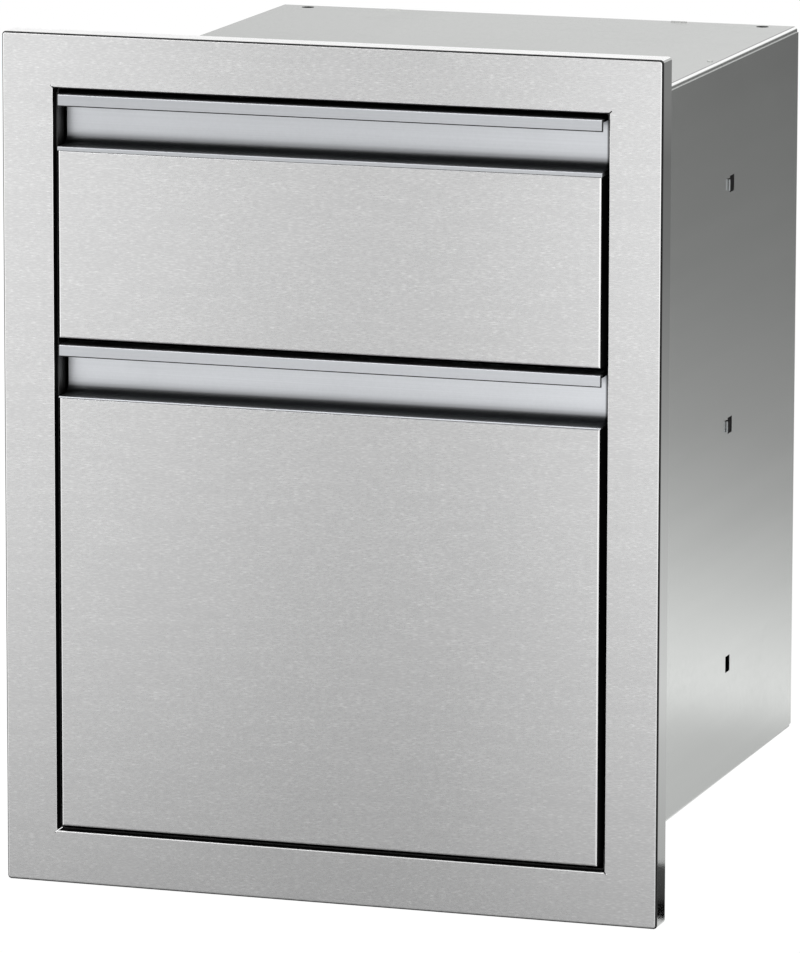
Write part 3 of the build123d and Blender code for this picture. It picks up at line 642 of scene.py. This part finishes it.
def rolled_sheet(name, light, dark, wave, is_box=False, is_top=False):
    """Mill-finished sheet: satin, faint rolling lines, tiny pits and the slight waves of thin metal."""
    material, tree, shader, place = new_finish(name, metallic=1.0, roughness=0.18)
    grain = use_group(tree, GRAIN, {"Vector": place, "Stretch": SHEET_STRETCH})
    specks = use_group(tree, SPECKS, {"Vector": place, "Scale": 420.0})
    smudge = use_group(tree, SMUDGES, {"Vector": place, "Scale": 6.0})["Smudge"]
    scratch = use_group(tree, SCRATCHES, {"Vector": place, "Amount": 0.4})["Scratch"]
    edge = use_group(tree, WEAR_AND_SHEEN_EDGES, {"Radius": 0.001})["Edge"]
    gap_shade = use_group(tree, GAP_SHADE_GROUP, {"Distance": 0.012, "Open": 0.62, "Shut": 0.12})["Painted Shade"]
    colour = blend(tree, fit(tree, grain["Bands"], *NOISE_RANGE), dark, light)
    colour = tint(tree, colour, specks["Speck"], share=0.25, second=SHEET_PIT)
    # Edges: partly wear, partly a painted sheen
    colour = tint(tree, colour, edge, share=0.2, second=SHEET_WEAR_AND_SHEEN)
    # Painted shade in narrow gaps and inner corners
    colour = tint(tree, colour, gap_shade, share=0.9, second=grey(SHEET_GAP_SHADE))
    if is_top:
        start, shine = lap_lines(tree, place)
        # Painted dark line and painted highlight along the top panel's side bends
        colour = blend(tree, start, colour, grey(SHEET_LAP_SHADE))
        colour = blend(tree, shine, colour, grey(STEEL_PAINTED_HIGHLIGHT))
    else:
        colour = blend(tree, proud_tabs(tree, place), colour, SHEET_TAB)
    rough = fit(tree, specks["Mottle"], *NOISE_RANGE, to_low=0.15, to_high=0.21)
    if is_box:
        mouth, shade, sheared = box_masks(tree, place)
        # The slots' sheared edges, painted bright as a glint
        colour = blend(tree, sheared, colour, grey(SHEET_SHEARED_GLINT))
        # Painted shade in the mouth while the fronts are shut
        colour = blend(tree, mouth, colour, shade)
        rough = add_share(tree, rough, mouth, share=0.35)
    rough = add_share(tree, rough, smudge, share=0.05)
    rough = add_share(tree, rough, scratch, share=0.12)
    finish_colour(tree, shader, colour, rough)
    waves = node(tree, "TexNoise", {"Vector": place, "Scale": 5.0, "Detail": 1.0})
    slow = node(tree, "Bump", {"Height": waves.outputs[0], "Strength": 1.0, "Distance": wave})
    fine = node(tree, "Bump", {"Height": specks["Mottle"], "Strength": 0.05, "Distance": 0.0001,
                               "Normal": slow.outputs[0]})
    tree.links.new(fine.outputs[0], shader.inputs["Normal"])
    return material


def pull_masks(tree, place, name):
    """Masks on a pull: its wall, painted shade at the wall's right end, a painted dark edge on the lip, and
    painted shade in the tray.
    """
    low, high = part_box(name)
    axes = axes_of(tree, place)
    depth = calc(tree, "SUBTRACT", axes["Y"], low.y)
    drop = calc(tree, "SUBTRACT", high.z, axes["Z"])
    rise = calc(tree, "SUBTRACT", PULL_TRAY_DROP, drop)
    in_channel = product(tree, above(tree, depth, PULL_WALL * CHANNEL_DEPTH), above(tree, rise, -TRAY_SUNK))
    wall = product(tree, above(tree, depth, PULL_WALL * WALL_DEPTH), in_channel)
    # Painted shade near the wall's right end, where the frame hides it
    to_right = calc(tree, "SUBTRACT", high.x, axes["X"])
    wall_end = product(tree, wall, fit(tree, to_right, *WALL_END))
    # A painted dark edge, as shade, along the lip's foot and ends
    under_lip = PULL_LIP + LIP_EDGE_UNDER
    lip_foot = between(tree, drop, PULL_LIP - LIP_EDGE_OVER, under_lip, LIP_SOFT)
    to_end = calc(tree, "SUBTRACT", high.x, calc(tree, "ABSOLUTE", axes["X"]))
    lip_end = product(tree, below(tree, to_end, LIP_END), below(tree, drop, under_lip))
    on_lip = below(tree, depth, PULL_WALL * LIP_DEPTH)
    lip_edge = product(tree, calc(tree, "MAXIMUM", lip_foot, lip_end), on_lip)
    # Painted shade in the channel, by height above the tray
    shade = blend(tree, in_channel, grey(1.0), tone_ramp(tree, rise, PULL_TRAY_SHADE_RISE))
    return wall, wall_end, lip_edge, shade


def satin_aluminium(name, lip_level, wall_level):
    """A pull channel: satin anodised, rougher on the lip that hands wear, the lip painted darker as shade and
    the wall lighter as light, with die lines and painted shade in the tray.
    """
    material, tree, shader, place = new_finish("satin_" + name, metallic=1.0, roughness=0.42)
    grain = use_group(tree, GRAIN, {"Vector": place, "Stretch": DIE_STRETCH})
    specks = use_group(tree, SPECKS, {"Vector": place, "Scale": 900.0})
    smudge = use_group(tree, SMUDGES, {"Vector": place, "Scale": 11.0})["Smudge"]
    edge = use_group(tree, WEAR_AND_SHEEN_EDGES, {"Radius": 0.0008})["Edge"]
    gaps = use_group(tree, GAP_SHADE_GROUP, {"Distance": 0.01, "Open": 0.5, "Shut": 0.1})
    wall, wall_end, lip_edge, shade = pull_masks(tree, place, name)
    # The painted shade at the wall's end fades as the drawer opens
    wall_end = product(tree, wall_end, fit(tree, gaps["Openness"], *WALL_END_SHUT))
    level = fit(tree, weigh(tree, grain["Grain"], specks["Mottle"], share=0.6), *NOISE_RANGE,
                to_low=0.94, to_high=1.06)
    # Painted light ramp along the pull: darker to the left, lighter to the right
    along = axes_of(tree, place)["X"]
    level = product(tree, level, fit(tree, along, -PULL_RAMP_REACH, PULL_RAMP_REACH, *PULL_LIGHT_RAMP))
    # Painted shade on the lip and painted light on the wall
    tone = blend(tree, wall, grey(lip_level), grey(wall_level))
    tinted = multiply(tree, tone, ALUMINIUM_TINT)
    colour = node(tree, "VectorMath", {0: tinted, 3: level}, operation="SCALE").outputs[0]
    colour = tint(tree, colour, smudge, share=0.10, second=ALUMINIUM_SMUDGED)
    # Edges: partly wear, partly a painted sheen
    colour = tint(tree, colour, edge, share=0.5, second=ALUMINIUM_WEAR_AND_SHEEN)
    # Painted shade along the lip's foot and ends
    colour = tint(tree, colour, lip_edge, share=0.95, second=grey(LIP_EDGE_DARK))
    # Painted shade in narrow gaps and inner corners
    colour = tint(tree, colour, gaps["Painted Shade"], share=0.8, second=grey(ALUMINIUM_GAP_SHADE))
    # Painted shade at the wall's right end
    colour = tint(tree, colour, wall_end, share=0.85, second=grey(ALUMINIUM_GAP_SHADE))
    # Painted shade down in the tray
    colour = multiply(tree, colour, shade)
    rough = fit(tree, specks["Mottle"], *NOISE_RANGE, to_low=0.38, to_high=0.46)
    rough = add_share(tree, rough, wall, share=-0.10)
    rough = add_share(tree, rough, smudge, share=0.05)
    finish_colour(tree, shader, colour, rough)
    finish_bump(tree, shader, grain["Grain"], strength=0.08, depth=0.0001)
    return material


def zinc_plate(name, light, dark, roughness):
    """Plated slide steel: faint mottle, lines along the slide, dark grease and painted shade in tracks, and
    painted shade in the side slots.
    """
    material, tree, shader, place = new_finish(name, metallic=1.0, roughness=roughness)
    grain = use_group(tree, GRAIN, {"Vector": place, "Stretch": PLATE_STRETCH})
    specks = use_group(tree, SPECKS, {"Vector": place, "Scale": 260.0})
    scratch = use_group(tree, SCRATCHES, {"Vector": place, "Amount": 0.5})["Scratch"]
    edge = use_group(tree, WEAR_AND_SHEEN_EDGES, {"Radius": 0.0006})["Edge"]
    gap_shade = use_group(tree, GAP_SHADE_GROUP, {"Distance": 0.006, "Open": 0.6, "Shut": 0.12})["Painted Shade"]
    level = fit(tree, weigh(tree, grain["Grain"], specks["Mottle"], share=0.5), *PLATE_RANGE)
    colour = blend(tree, level, dark, light)
    colour = tint(tree, colour, scratch, share=0.4, second=PLATE_SCRATCH)
    # Edges: partly wear, partly a painted sheen
    colour = tint(tree, colour, edge, share=0.5, second=grey(PLATE_WEAR_AND_SHEEN))
    # Dark grease, and painted shade, in narrow gaps and tracks
    colour = tint(tree, colour, gap_shade, share=0.85, second=PLATE_GREASE_AND_SHADE)
    # Painted shade in the side slots, behind the hooks' tips
    axes = axes_of(tree, place)
    outside = above(tree, calc(tree, "ABSOLUTE", axes["X"]), SLOT_FACE_X)
    in_slot = product(tree, outside, above(tree, axes["Y"], HOOK_TIP_Y))
    colour = blend(tree, in_slot, colour, grey(SLOT_SHADE))
    rough = fit(tree, specks["Mottle"], *NOISE_RANGE, to_low=roughness - 0.05, to_high=roughness + 0.07)
    rough = add_share(tree, rough, in_slot, share=0.5)
    finish_colour(tree, shader, colour, rough)
    finish_bump(tree, shader, grain["Grain"], strength=0.10, depth=0.0001)
    return material


def bearing_steel():
    """Polished balls with a thin haze of grease."""
    material, tree, shader, place = new_finish("bearing_steel", metallic=1.0, roughness=0.08)
    haze = use_group(tree, SMUDGES, {"Vector": place, "Scale": 260.0})["Smudge"]
    colour = blend(tree, haze, BALL_CLEAN, BALL_GREASE)
    finish_colour(tree, shader, colour, fit(tree, haze, 0.0, 1.0, to_low=0.06, to_high=0.30))
    return material


def screw_steel():
    """Stainless screws and rivets: turned faces, rims brightened by wear and a painted sheen, painted shade
    under the heads.
    """
    material, tree, shader, place = new_finish("screw_steel", metallic=1.0, roughness=0.24)
    specks = use_group(tree, SPECKS, {"Vector": place, "Scale": 1500.0})
    edge = use_group(tree, WEAR_AND_SHEEN_EDGES, {"Radius": 0.0004})["Edge"]
    gap_shade = use_group(tree, GAP_SHADE_GROUP, {"Distance": 0.003, "Open": 0.6, "Shut": 0.12})["Painted Shade"]
    colour = blend(tree, specks["Mottle"], SCREW_DARK, grey(SCREW_LIGHT))
    # Rims: partly wear, partly a painted sheen
    colour = tint(tree, colour, edge, share=0.6, second=grey(SCREW_WEAR_AND_SHEEN))
    # Painted shade under the heads and in narrow gaps
    colour = tint(tree, colour, gap_shade, share=0.8, second=grey(SCREW_GAP_SHADE))
    rough = fit(tree, specks["Mottle"], *NOISE_RANGE, to_low=0.20, to_high=0.32)
    finish_colour(tree, shader, colour, rough)
    finish_bump(tree, shader, specks["Mottle"], strength=0.06, depth=0.0001)
    return material


def moulded_rubber():
    """Buffer rubber: matt black, pored, with a pale bloom."""
    material, tree, shader, place = new_finish("moulded_rubber", metallic=0.0, roughness=0.75)
    specks = use_group(tree, SPECKS, {"Vector": place, "Scale": 1200.0})
    bloom = use_group(tree, SMUDGES, {"Vector": place, "Scale": 60.0})["Smudge"]
    colour = blend(tree, bloom, RUBBER_DARK, grey(RUBBER_BLOOM))
    rough = fit(tree, specks["Mottle"], *NOISE_RANGE, to_low=0.66, to_high=0.84)
    finish_colour(tree, shader, colour, rough)
    finish_bump(tree, shader, specks["Mottle"], strength=0.35, depth=0.0002)
    return material


def moulded_bin():
    """The bin: dark grey polypropylene with a fine spark-eroded texture, scuffed and given a painted sheen at
    its edges.
    """
    material, tree, shader, place = new_finish("moulded_bin", metallic=0.0, roughness=0.45)
    specks = use_group(tree, SPECKS, {"Vector": place, "Scale": 800.0})
    scratch = use_group(tree, SCRATCHES, {"Vector": place, "Amount": 1.0})["Scratch"]
    smudge = use_group(tree, SMUDGES, {"Vector": place, "Scale": 9.0})["Smudge"]
    edge = use_group(tree, WEAR_AND_SHEEN_EDGES, {"Radius": 0.0015})["Edge"]
    colour = blend(tree, specks["Mottle"], BIN_DARK, BIN_LIGHT)
    colour = tint(tree, colour, scratch, share=0.5, second=grey(BIN_SCRATCH))
    # Edges: partly scuffs, partly a painted sheen
    colour = tint(tree, colour, edge, share=0.45, second=grey(BIN_WEAR_AND_SHEEN))
    rough = fit(tree, specks["Mottle"], *NOISE_RANGE, to_low=0.40, to_high=0.54)
    rough = add_share(tree, rough, smudge, share=-0.08)
    finish_colour(tree, shader, colour, rough)
    finish_bump(tree, shader, specks["Mottle"], strength=0.25, depth=0.0002)
    return material


def dress_nodes():
    """Gives each CAD node the finish of its slot; the frame, fronts, pulls and top have their own."""
    finishes = {
        "box_sheet": rolled_sheet("rolled_box_sheet", BOX_LIGHT, BOX_DARK, BOX_WAVE, is_box=True),
        "drawer_sheet": rolled_sheet("rolled_drawer_sheet", DRAWER_LIGHT, DRAWER_DARK, DRAWER_WAVE),
        "slide_steel": zinc_plate("zinc_slide_steel", SLIDE_LIGHT, SLIDE_DARK, roughness=0.30),
        "cage_steel": zinc_plate("zinc_cage_steel", CAGE_LIGHT, CAGE_DARK, roughness=0.36),
        "ball_steel": bearing_steel(),
        "fastener_steel": screw_steel(),
        "bumper_rubber": moulded_rubber(),
        "bin_plastic": moulded_bin(),
    }
    own_finishes = {}
    for name in ("face_frame", "upper_front_panel", "lower_front_panel"):
        own_finishes[name] = brushed_steel(name)
    for name, (lip_level, wall_level) in PULL_LEVELS.items():
        own_finishes[name] = satin_aluminium(name, lip_level, wall_level)
    own_finishes["top_panel"] = rolled_sheet("rolled_top_sheet", BOX_LIGHT, BOX_DARK, BOX_WAVE,
                                             is_box=True, is_top=True)
    for subpart in frame["record"]["subparts"]:
        name = subpart["node"]
        finish = own_finishes.get(name) or finishes[subpart["material_slot"]]
        for material_slot in frame["nodes"][name].material_slots:
            material_slot.material = finish
    return finishes


# Details of the bin

def finish_piece(piece, modifiers):
    """Applies the place and the modifiers: the piece sits at the origin, with its place in its mesh."""
    bpy.ops.object.transform_apply(location=True, rotation=True, scale=True)
    for kind, settings in modifiers:
        modifier = piece.modifiers.new(kind.lower(), kind)
        for setting, value in settings.items():
            setattr(modifier, setting, value)
        bpy.ops.object.modifier_apply(modifier=modifier.name)
    bpy.ops.object.mode_set(mode="EDIT")
    bpy.ops.mesh.select_all(action="SELECT")
    bpy.ops.mesh.normals_make_consistent(inside=False)
    bpy.ops.object.mode_set(mode="OBJECT")
    bpy.ops.object.shade_smooth_by_angle(angle=SMOOTH_ANGLE)


def rounded_sheet(name, half_x, half_y, middle, corner):
    """A flat rounded rectangle, left in edit mode with its face selected."""
    bpy.ops.object.select_all(action="DESELECT")
    bpy.ops.mesh.primitive_plane_add(size=2.0, location=middle)
    piece = bpy.context.object
    piece.name = name
    piece.scale = (half_x, half_y, 1.0)
    bpy.ops.object.transform_apply(location=True, rotation=True, scale=True)
    bpy.ops.object.mode_set(mode="EDIT")
    bpy.ops.mesh.select_all(action="SELECT")
    bpy.ops.mesh.bevel(offset=corner, segments=CORNER_SEGMENTS, affect="VERTICES")
    return piece


def plain_bar(name, size, middle, turn):
    """A bar with sharp edges, turned and set at its middle, in object mode."""
    bpy.ops.object.select_all(action="DESELECT")
    bpy.ops.mesh.primitive_cube_add(size=1.0, location=middle, rotation=turn)
    piece = bpy.context.object
    piece.name = name
    piece.scale = size
    return piece


def row(count, step):
    """The settings of an array of copies, one step apart."""
    return {"count": count, "use_relative_offset": False, "use_constant_offset": True,
            "constant_offset_displace": step}


def bin_middle(height):
    low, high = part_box("trash_bin")
    return Vector(((low.x + high.x) / 2, (low.y + high.y) / 2, height))


def bin_rim_bead():
    """The raised bead round the bin's rim."""
    low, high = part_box("trash_bin")
    half = (high - low) / 2
    bead = rounded_sheet("bin_rim_bead", half.x - BEAD_INSET, half.y - BEAD_INSET,
                         bin_middle(high.z - BIN_SUNK), BIN_RIM_CORNER - BEAD_INSET)
    bpy.ops.mesh.inset(thickness=BEAD_WIDTH)
    bpy.ops.mesh.delete(type="FACE")
    bpy.ops.object.mode_set(mode="OBJECT")
    finish_piece(bead, [
        ("SOLIDIFY", {"thickness": BEAD_HEIGHT + BIN_SUNK, "offset": 1.0}),
        ("BEVEL", BEAD_EASE),
    ])
    return bead


def bin_grips():
    """Rows of finger ridges on the front and rear of the rim."""
    low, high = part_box("trash_bin")
    middle = bin_middle(high.z + GRIP_SIZE[2] / 2 - BIN_SUNK)
    middle.y = low.y + BIN_RIM - GRIP_SIZE[1] / 2
    middle.x = -GRIP_PITCH * (GRIP_COUNT - 1) / 2
    grips = plain_bar("bin_grips", GRIP_SIZE, middle, LEVEL)
    bpy.ops.object.transform_apply(location=True, rotation=True, scale=True)
    bpy.ops.object.empty_add(location=bin_middle(0.0))
    mirror = bpy.context.object
    bpy.ops.object.select_all(action="DESELECT")
    grips.select_set(True)
    bpy.context.view_layer.objects.active = grips
    finish_piece(grips, [
        ("BEVEL", GRIP_EASE),
        ("ARRAY", row(GRIP_COUNT, (GRIP_PITCH, 0.0, 0.0))),
        ("MIRROR", {"use_axis": (False, True, False), "mirror_object": mirror, "use_mirror_merge": False}),
    ])
    bpy.data.objects.remove(mirror)
    return grips


def bin_flutes():
    """Upright stiffening ribs on both sides of the bin, leaning with its taper."""
    low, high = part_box("trash_bin")
    lean = math.atan2(BIN_TAPER, high.z - low.z)
    middle_z = FLUTE_FOOT + FLUTE_SIZE[2] / 2
    wall_x = high.x - BIN_RIM - (high.z - middle_z) * math.tan(lean)
    first_y = low.y + BIN_RIM + FLUTE_Y
    flutes = plain_bar("bin_flutes", FLUTE_SIZE, (wall_x, first_y, middle_z), (0.0, lean, 0.0))
    pitch = (high.y - low.y - 2 * (BIN_RIM + FLUTE_Y)) / (FLUTE_COUNT - 1)
    finish_piece(flutes, [
        ("BEVEL", FLUTE_EASE),
        ("ARRAY", row(FLUTE_COUNT, (0.0, pitch, 0.0))),
        ("MIRROR", {"use_axis": (True, False, False), "use_mirror_merge": False}),
    ])
    return flutes


def bin_floor_pad():
    """The raised panel moulded in the bin's floor."""
    low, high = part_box("trash_bin")
    half = (high - low) / 2
    inset = BIN_RIM + BIN_TAPER + BIN_WALL + PAD_INSET
    pad = rounded_sheet("bin_floor_pad", half.x - inset, half.y - inset,
                        bin_middle(low.z + BIN_WALL - BIN_SUNK), PAD_CORNER)
    bpy.ops.mesh.inset(thickness=PAD_BORDER)
    bpy.ops.transform.translate(value=(0.0, 0.0, -PAD_HEIGHT / 2))
    bpy.ops.object.mode_set(mode="OBJECT")
    finish_piece(pad, [
        ("SOLIDIFY", {"thickness": PAD_HEIGHT + BIN_SUNK, "offset": 1.0}),
        ("BEVEL", PAD_EASE),
    ])
    return pad


def add_bin_details(finish):
    for piece in (bin_rim_bead(), bin_grips(), bin_flutes(), bin_floor_pad()):
        piece.data.materials.clear()
        piece.data.materials.append(finish)
        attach(piece, "bin")


# Studio

def seen_ray(tree):
    """1 for rays that show a background: to the camera, or mirrored by metal or through glass."""
    path = node(tree, "LightPath")
    seen = calc(tree, "MAXIMUM", path.outputs["Is Camera Ray"], path.outputs["Is Glossy Ray"])
    return calc(tree, "MAXIMUM", seen, path.outputs["Is Transmission Ray"])


def set_world():
    """Plain white where it is seen, and a softer light from all round."""
    world = bpy.data.worlds.new("studio_white")
    world.use_nodes = True
    bpy.context.scene.world = world
    tree = world.node_tree
    tree.nodes.clear()
    ambient = node(tree, "Background", {"Color": grey(1.0), "Strength": AMBIENT_LEVEL})
    white = node(tree, "Background", {"Color": grey(1.0), "Strength": 1.0})
    both = node(tree, "MixShader", {0: seen_ray(tree), 1: ambient.outputs[0], 2: white.outputs[0]})
    node(tree, "OutputWorld", {"Surface": both.outputs[0]})


def add_plane(name, middle, size, turn):
    """A flat stage plane of the given two sizes, turned and set at its middle."""
    bpy.ops.object.select_all(action="DESELECT")
    bpy.ops.mesh.primitive_plane_add(size=1.0, location=middle, rotation=turn)
    plane = bpy.context.object
    plane.name = name
    plane.scale = (size[0], size[1], 1.0)
    return plane


def stage_material(plane, name):
    material = bpy.data.materials.new(name)
    material.use_nodes = True
    material.node_tree.nodes.clear()
    plane.data.materials.append(material)
    return material.node_tree


def add_floor():
    """A pale floor that keeps the part's shadow and is nearly white where it is seen."""
    floor = add_plane("floor", (0.0, 0.0, FLOOR_Z), (FLOOR_SIZE, FLOOR_SIZE), LEVEL)
    tree = stage_material(floor, "pale_floor")
    matt = node(tree, "BsdfDiffuse", {"Color": FLOOR_TONE})
    white = node(tree, "Emission", {"Color": grey(1.0), "Strength": FLOOR_WHITE})
    share = product(tree, seen_ray(tree), FLOOR_WHITE_SHARE)
    both = node(tree, "MixShader", {0: share, 1: matt.outputs[0], 2: white.outputs[0]})
    node(tree, "OutputMaterial", {"Surface": both.outputs[0]})


def add_card(name, middle, size, turn):
    """A card that only reflections show; returns the tree of its material, and the places on it."""
    card = add_plane(name, middle, size, turn)
    card.visible_camera = False
    card.visible_diffuse = False
    card.visible_transmission = False
    card.visible_volume_scatter = False
    card.visible_shadow = False
    tree = stage_material(card, name + "_tone")
    return tree, axes_of(tree, node(tree, "NewGeometry").outputs["Position"])


def light_card(tree, tone, strength):
    glow = node(tree, "Emission", {"Color": tone, "Strength": strength})
    node(tree, "OutputMaterial", {"Surface": glow.outputs[0]})


def add_front_card():
    """A pale card before the fronts, whose tone falls towards the floor and is least across its middle."""
    height = FRONT_CARD_TOP - FLOOR_Z
    middle = (0.0, FRONT_CARD_Y, FLOOR_Z + height / 2)
    tree, axes = add_card("front_card", middle, (2 * FRONT_CARD_HALF, height), UPRIGHT)
    rise = tone_ramp(tree, axes["Z"], FRONT_CARD_RISE)
    span = tone_ramp(tree, axes["X"], FRONT_CARD_SPAN)
    light_card(tree, multiply(tree, rise, span), FRONT_CARD_STRENGTH)


def add_floor_card():
    """A grey card on the floor before the fronts, for the lowest part of their mirror image."""
    middle = (0.0, FRONT_CARD_Y / 2, FLOOR_Z + CARD_LIFT)
    tree, _ = add_card("floor_card", middle, (2 * FLOOR_CARD_HALF, -FRONT_CARD_Y), LEVEL)
    light_card(tree, grey(FLOOR_CARD_LEVEL), 1.0)


def add_side_card():
    """A card behind the right side: dark above, bright low down; its right part is for the frame's return."""
    x0, x1 = SIDE_CARD_X
    height = SIDE_CARD_TOP - FLOOR_Z
    middle = ((x0 + x1) / 2, SIDE_CARD_Y, FLOOR_Z + height / 2)
    tree, axes = add_card("side_card", middle, (x1 - x0, height), UPRIGHT)
    side_rise = tone_ramp(tree, axes["Z"], SIDE_CARD_RISE)
    return_rise = tone_ramp(tree, axes["Z"], RETURN_CARD_RISE)
    rise = blend(tree, fit(tree, axes["X"], *RETURN_CARD_X), side_rise, return_rise)
    span = tone_ramp(tree, axes["X"], SIDE_CARD_SPAN)
    light_card(tree, multiply(tree, rise, span), SIDE_CARD_STRENGTH)


def add_side_floor_card():
    """A dark strip of floor before the side card, for the foot of the frame's right return."""
    x0, x1 = SIDE_FLOOR_X
    y0, y1 = SIDE_FLOOR_RISE[0][0], SIDE_CARD_Y
    middle = ((x0 + x1) / 2, (y0 + y1) / 2, FLOOR_Z + CARD_LIFT)
    tree, axes = add_card("side_floor_card", middle, (x1 - x0, y1 - y0), LEVEL)
    light_card(tree, tone_ramp(tree, axes["Y"], SIDE_FLOOR_RISE), 1.0)


def add_rear_card():
    """A light grey card well behind, which the top of the box mirrors."""
    (x0, x1), (z0, z1) = REAR_CARD_X, REAR_CARD_Z
    middle = ((x0 + x1) / 2, REAR_CARD_Y, (z0 + z1) / 2)
    tree, axes = add_card("rear_card", middle, (x1 - x0, z1 - z0), UPRIGHT)
    light_card(tree, tone_ramp(tree, axes["X"], REAR_CARD_SPAN), 1.0)


def add_lamps():
    """Square soft lamps, turned to the middle of the part."""
    middle = (CAD_BOX[0] + CAD_BOX[1]) / 2
    for name, place, width, power in LAMPS:
        bpy.ops.object.light_add(type="AREA", location=place)
        lamp = bpy.context.object
        lamp.name = name
        lamp.data.shape = "SQUARE"
        lamp.data.size = width
        lamp.data.energy = power
        lamp.rotation_euler = (middle - Vector(place)).to_track_quat("-Z", "Y").to_euler()


def add_camera():
    """The camera at the photograph's place, from its yaw, pitch and roll."""
    ahead = Vector((-math.sin(CAMERA_YAW) * math.cos(CAMERA_PITCH),
                    math.cos(CAMERA_YAW) * math.cos(CAMERA_PITCH), -math.sin(CAMERA_PITCH)))
    level = Vector((math.cos(CAMERA_YAW), math.sin(CAMERA_YAW), 0.0))
    upright = level.cross(ahead)
    right = level * math.cos(CAMERA_ROLL) + upright * math.sin(CAMERA_ROLL)
    up = upright * math.cos(CAMERA_ROLL) - level * math.sin(CAMERA_ROLL)
    data = bpy.data.cameras.new("photo_camera")
    data.lens = CAMERA_LENS
    data.sensor_width = CAMERA_SENSOR
    camera = bpy.data.objects.new("photo_camera", data)
    bpy.context.scene.collection.objects.link(camera)
    turn = Matrix((right, up, -ahead)).transposed().to_4x4()
    camera.matrix_world = Matrix.Translation(CAMERA_PLACE) @ turn
    bpy.context.scene.camera = camera


finishes = dress_nodes()
add_bin_details(finishes["bin_plastic"])
set_world()
add_floor()
add_front_card()
add_floor_card()
add_side_card()
add_side_floor_card()
add_rear_card()
add_lamps()
add_camera()
bpy.context.scene.view_settings.view_transform = "Standard"
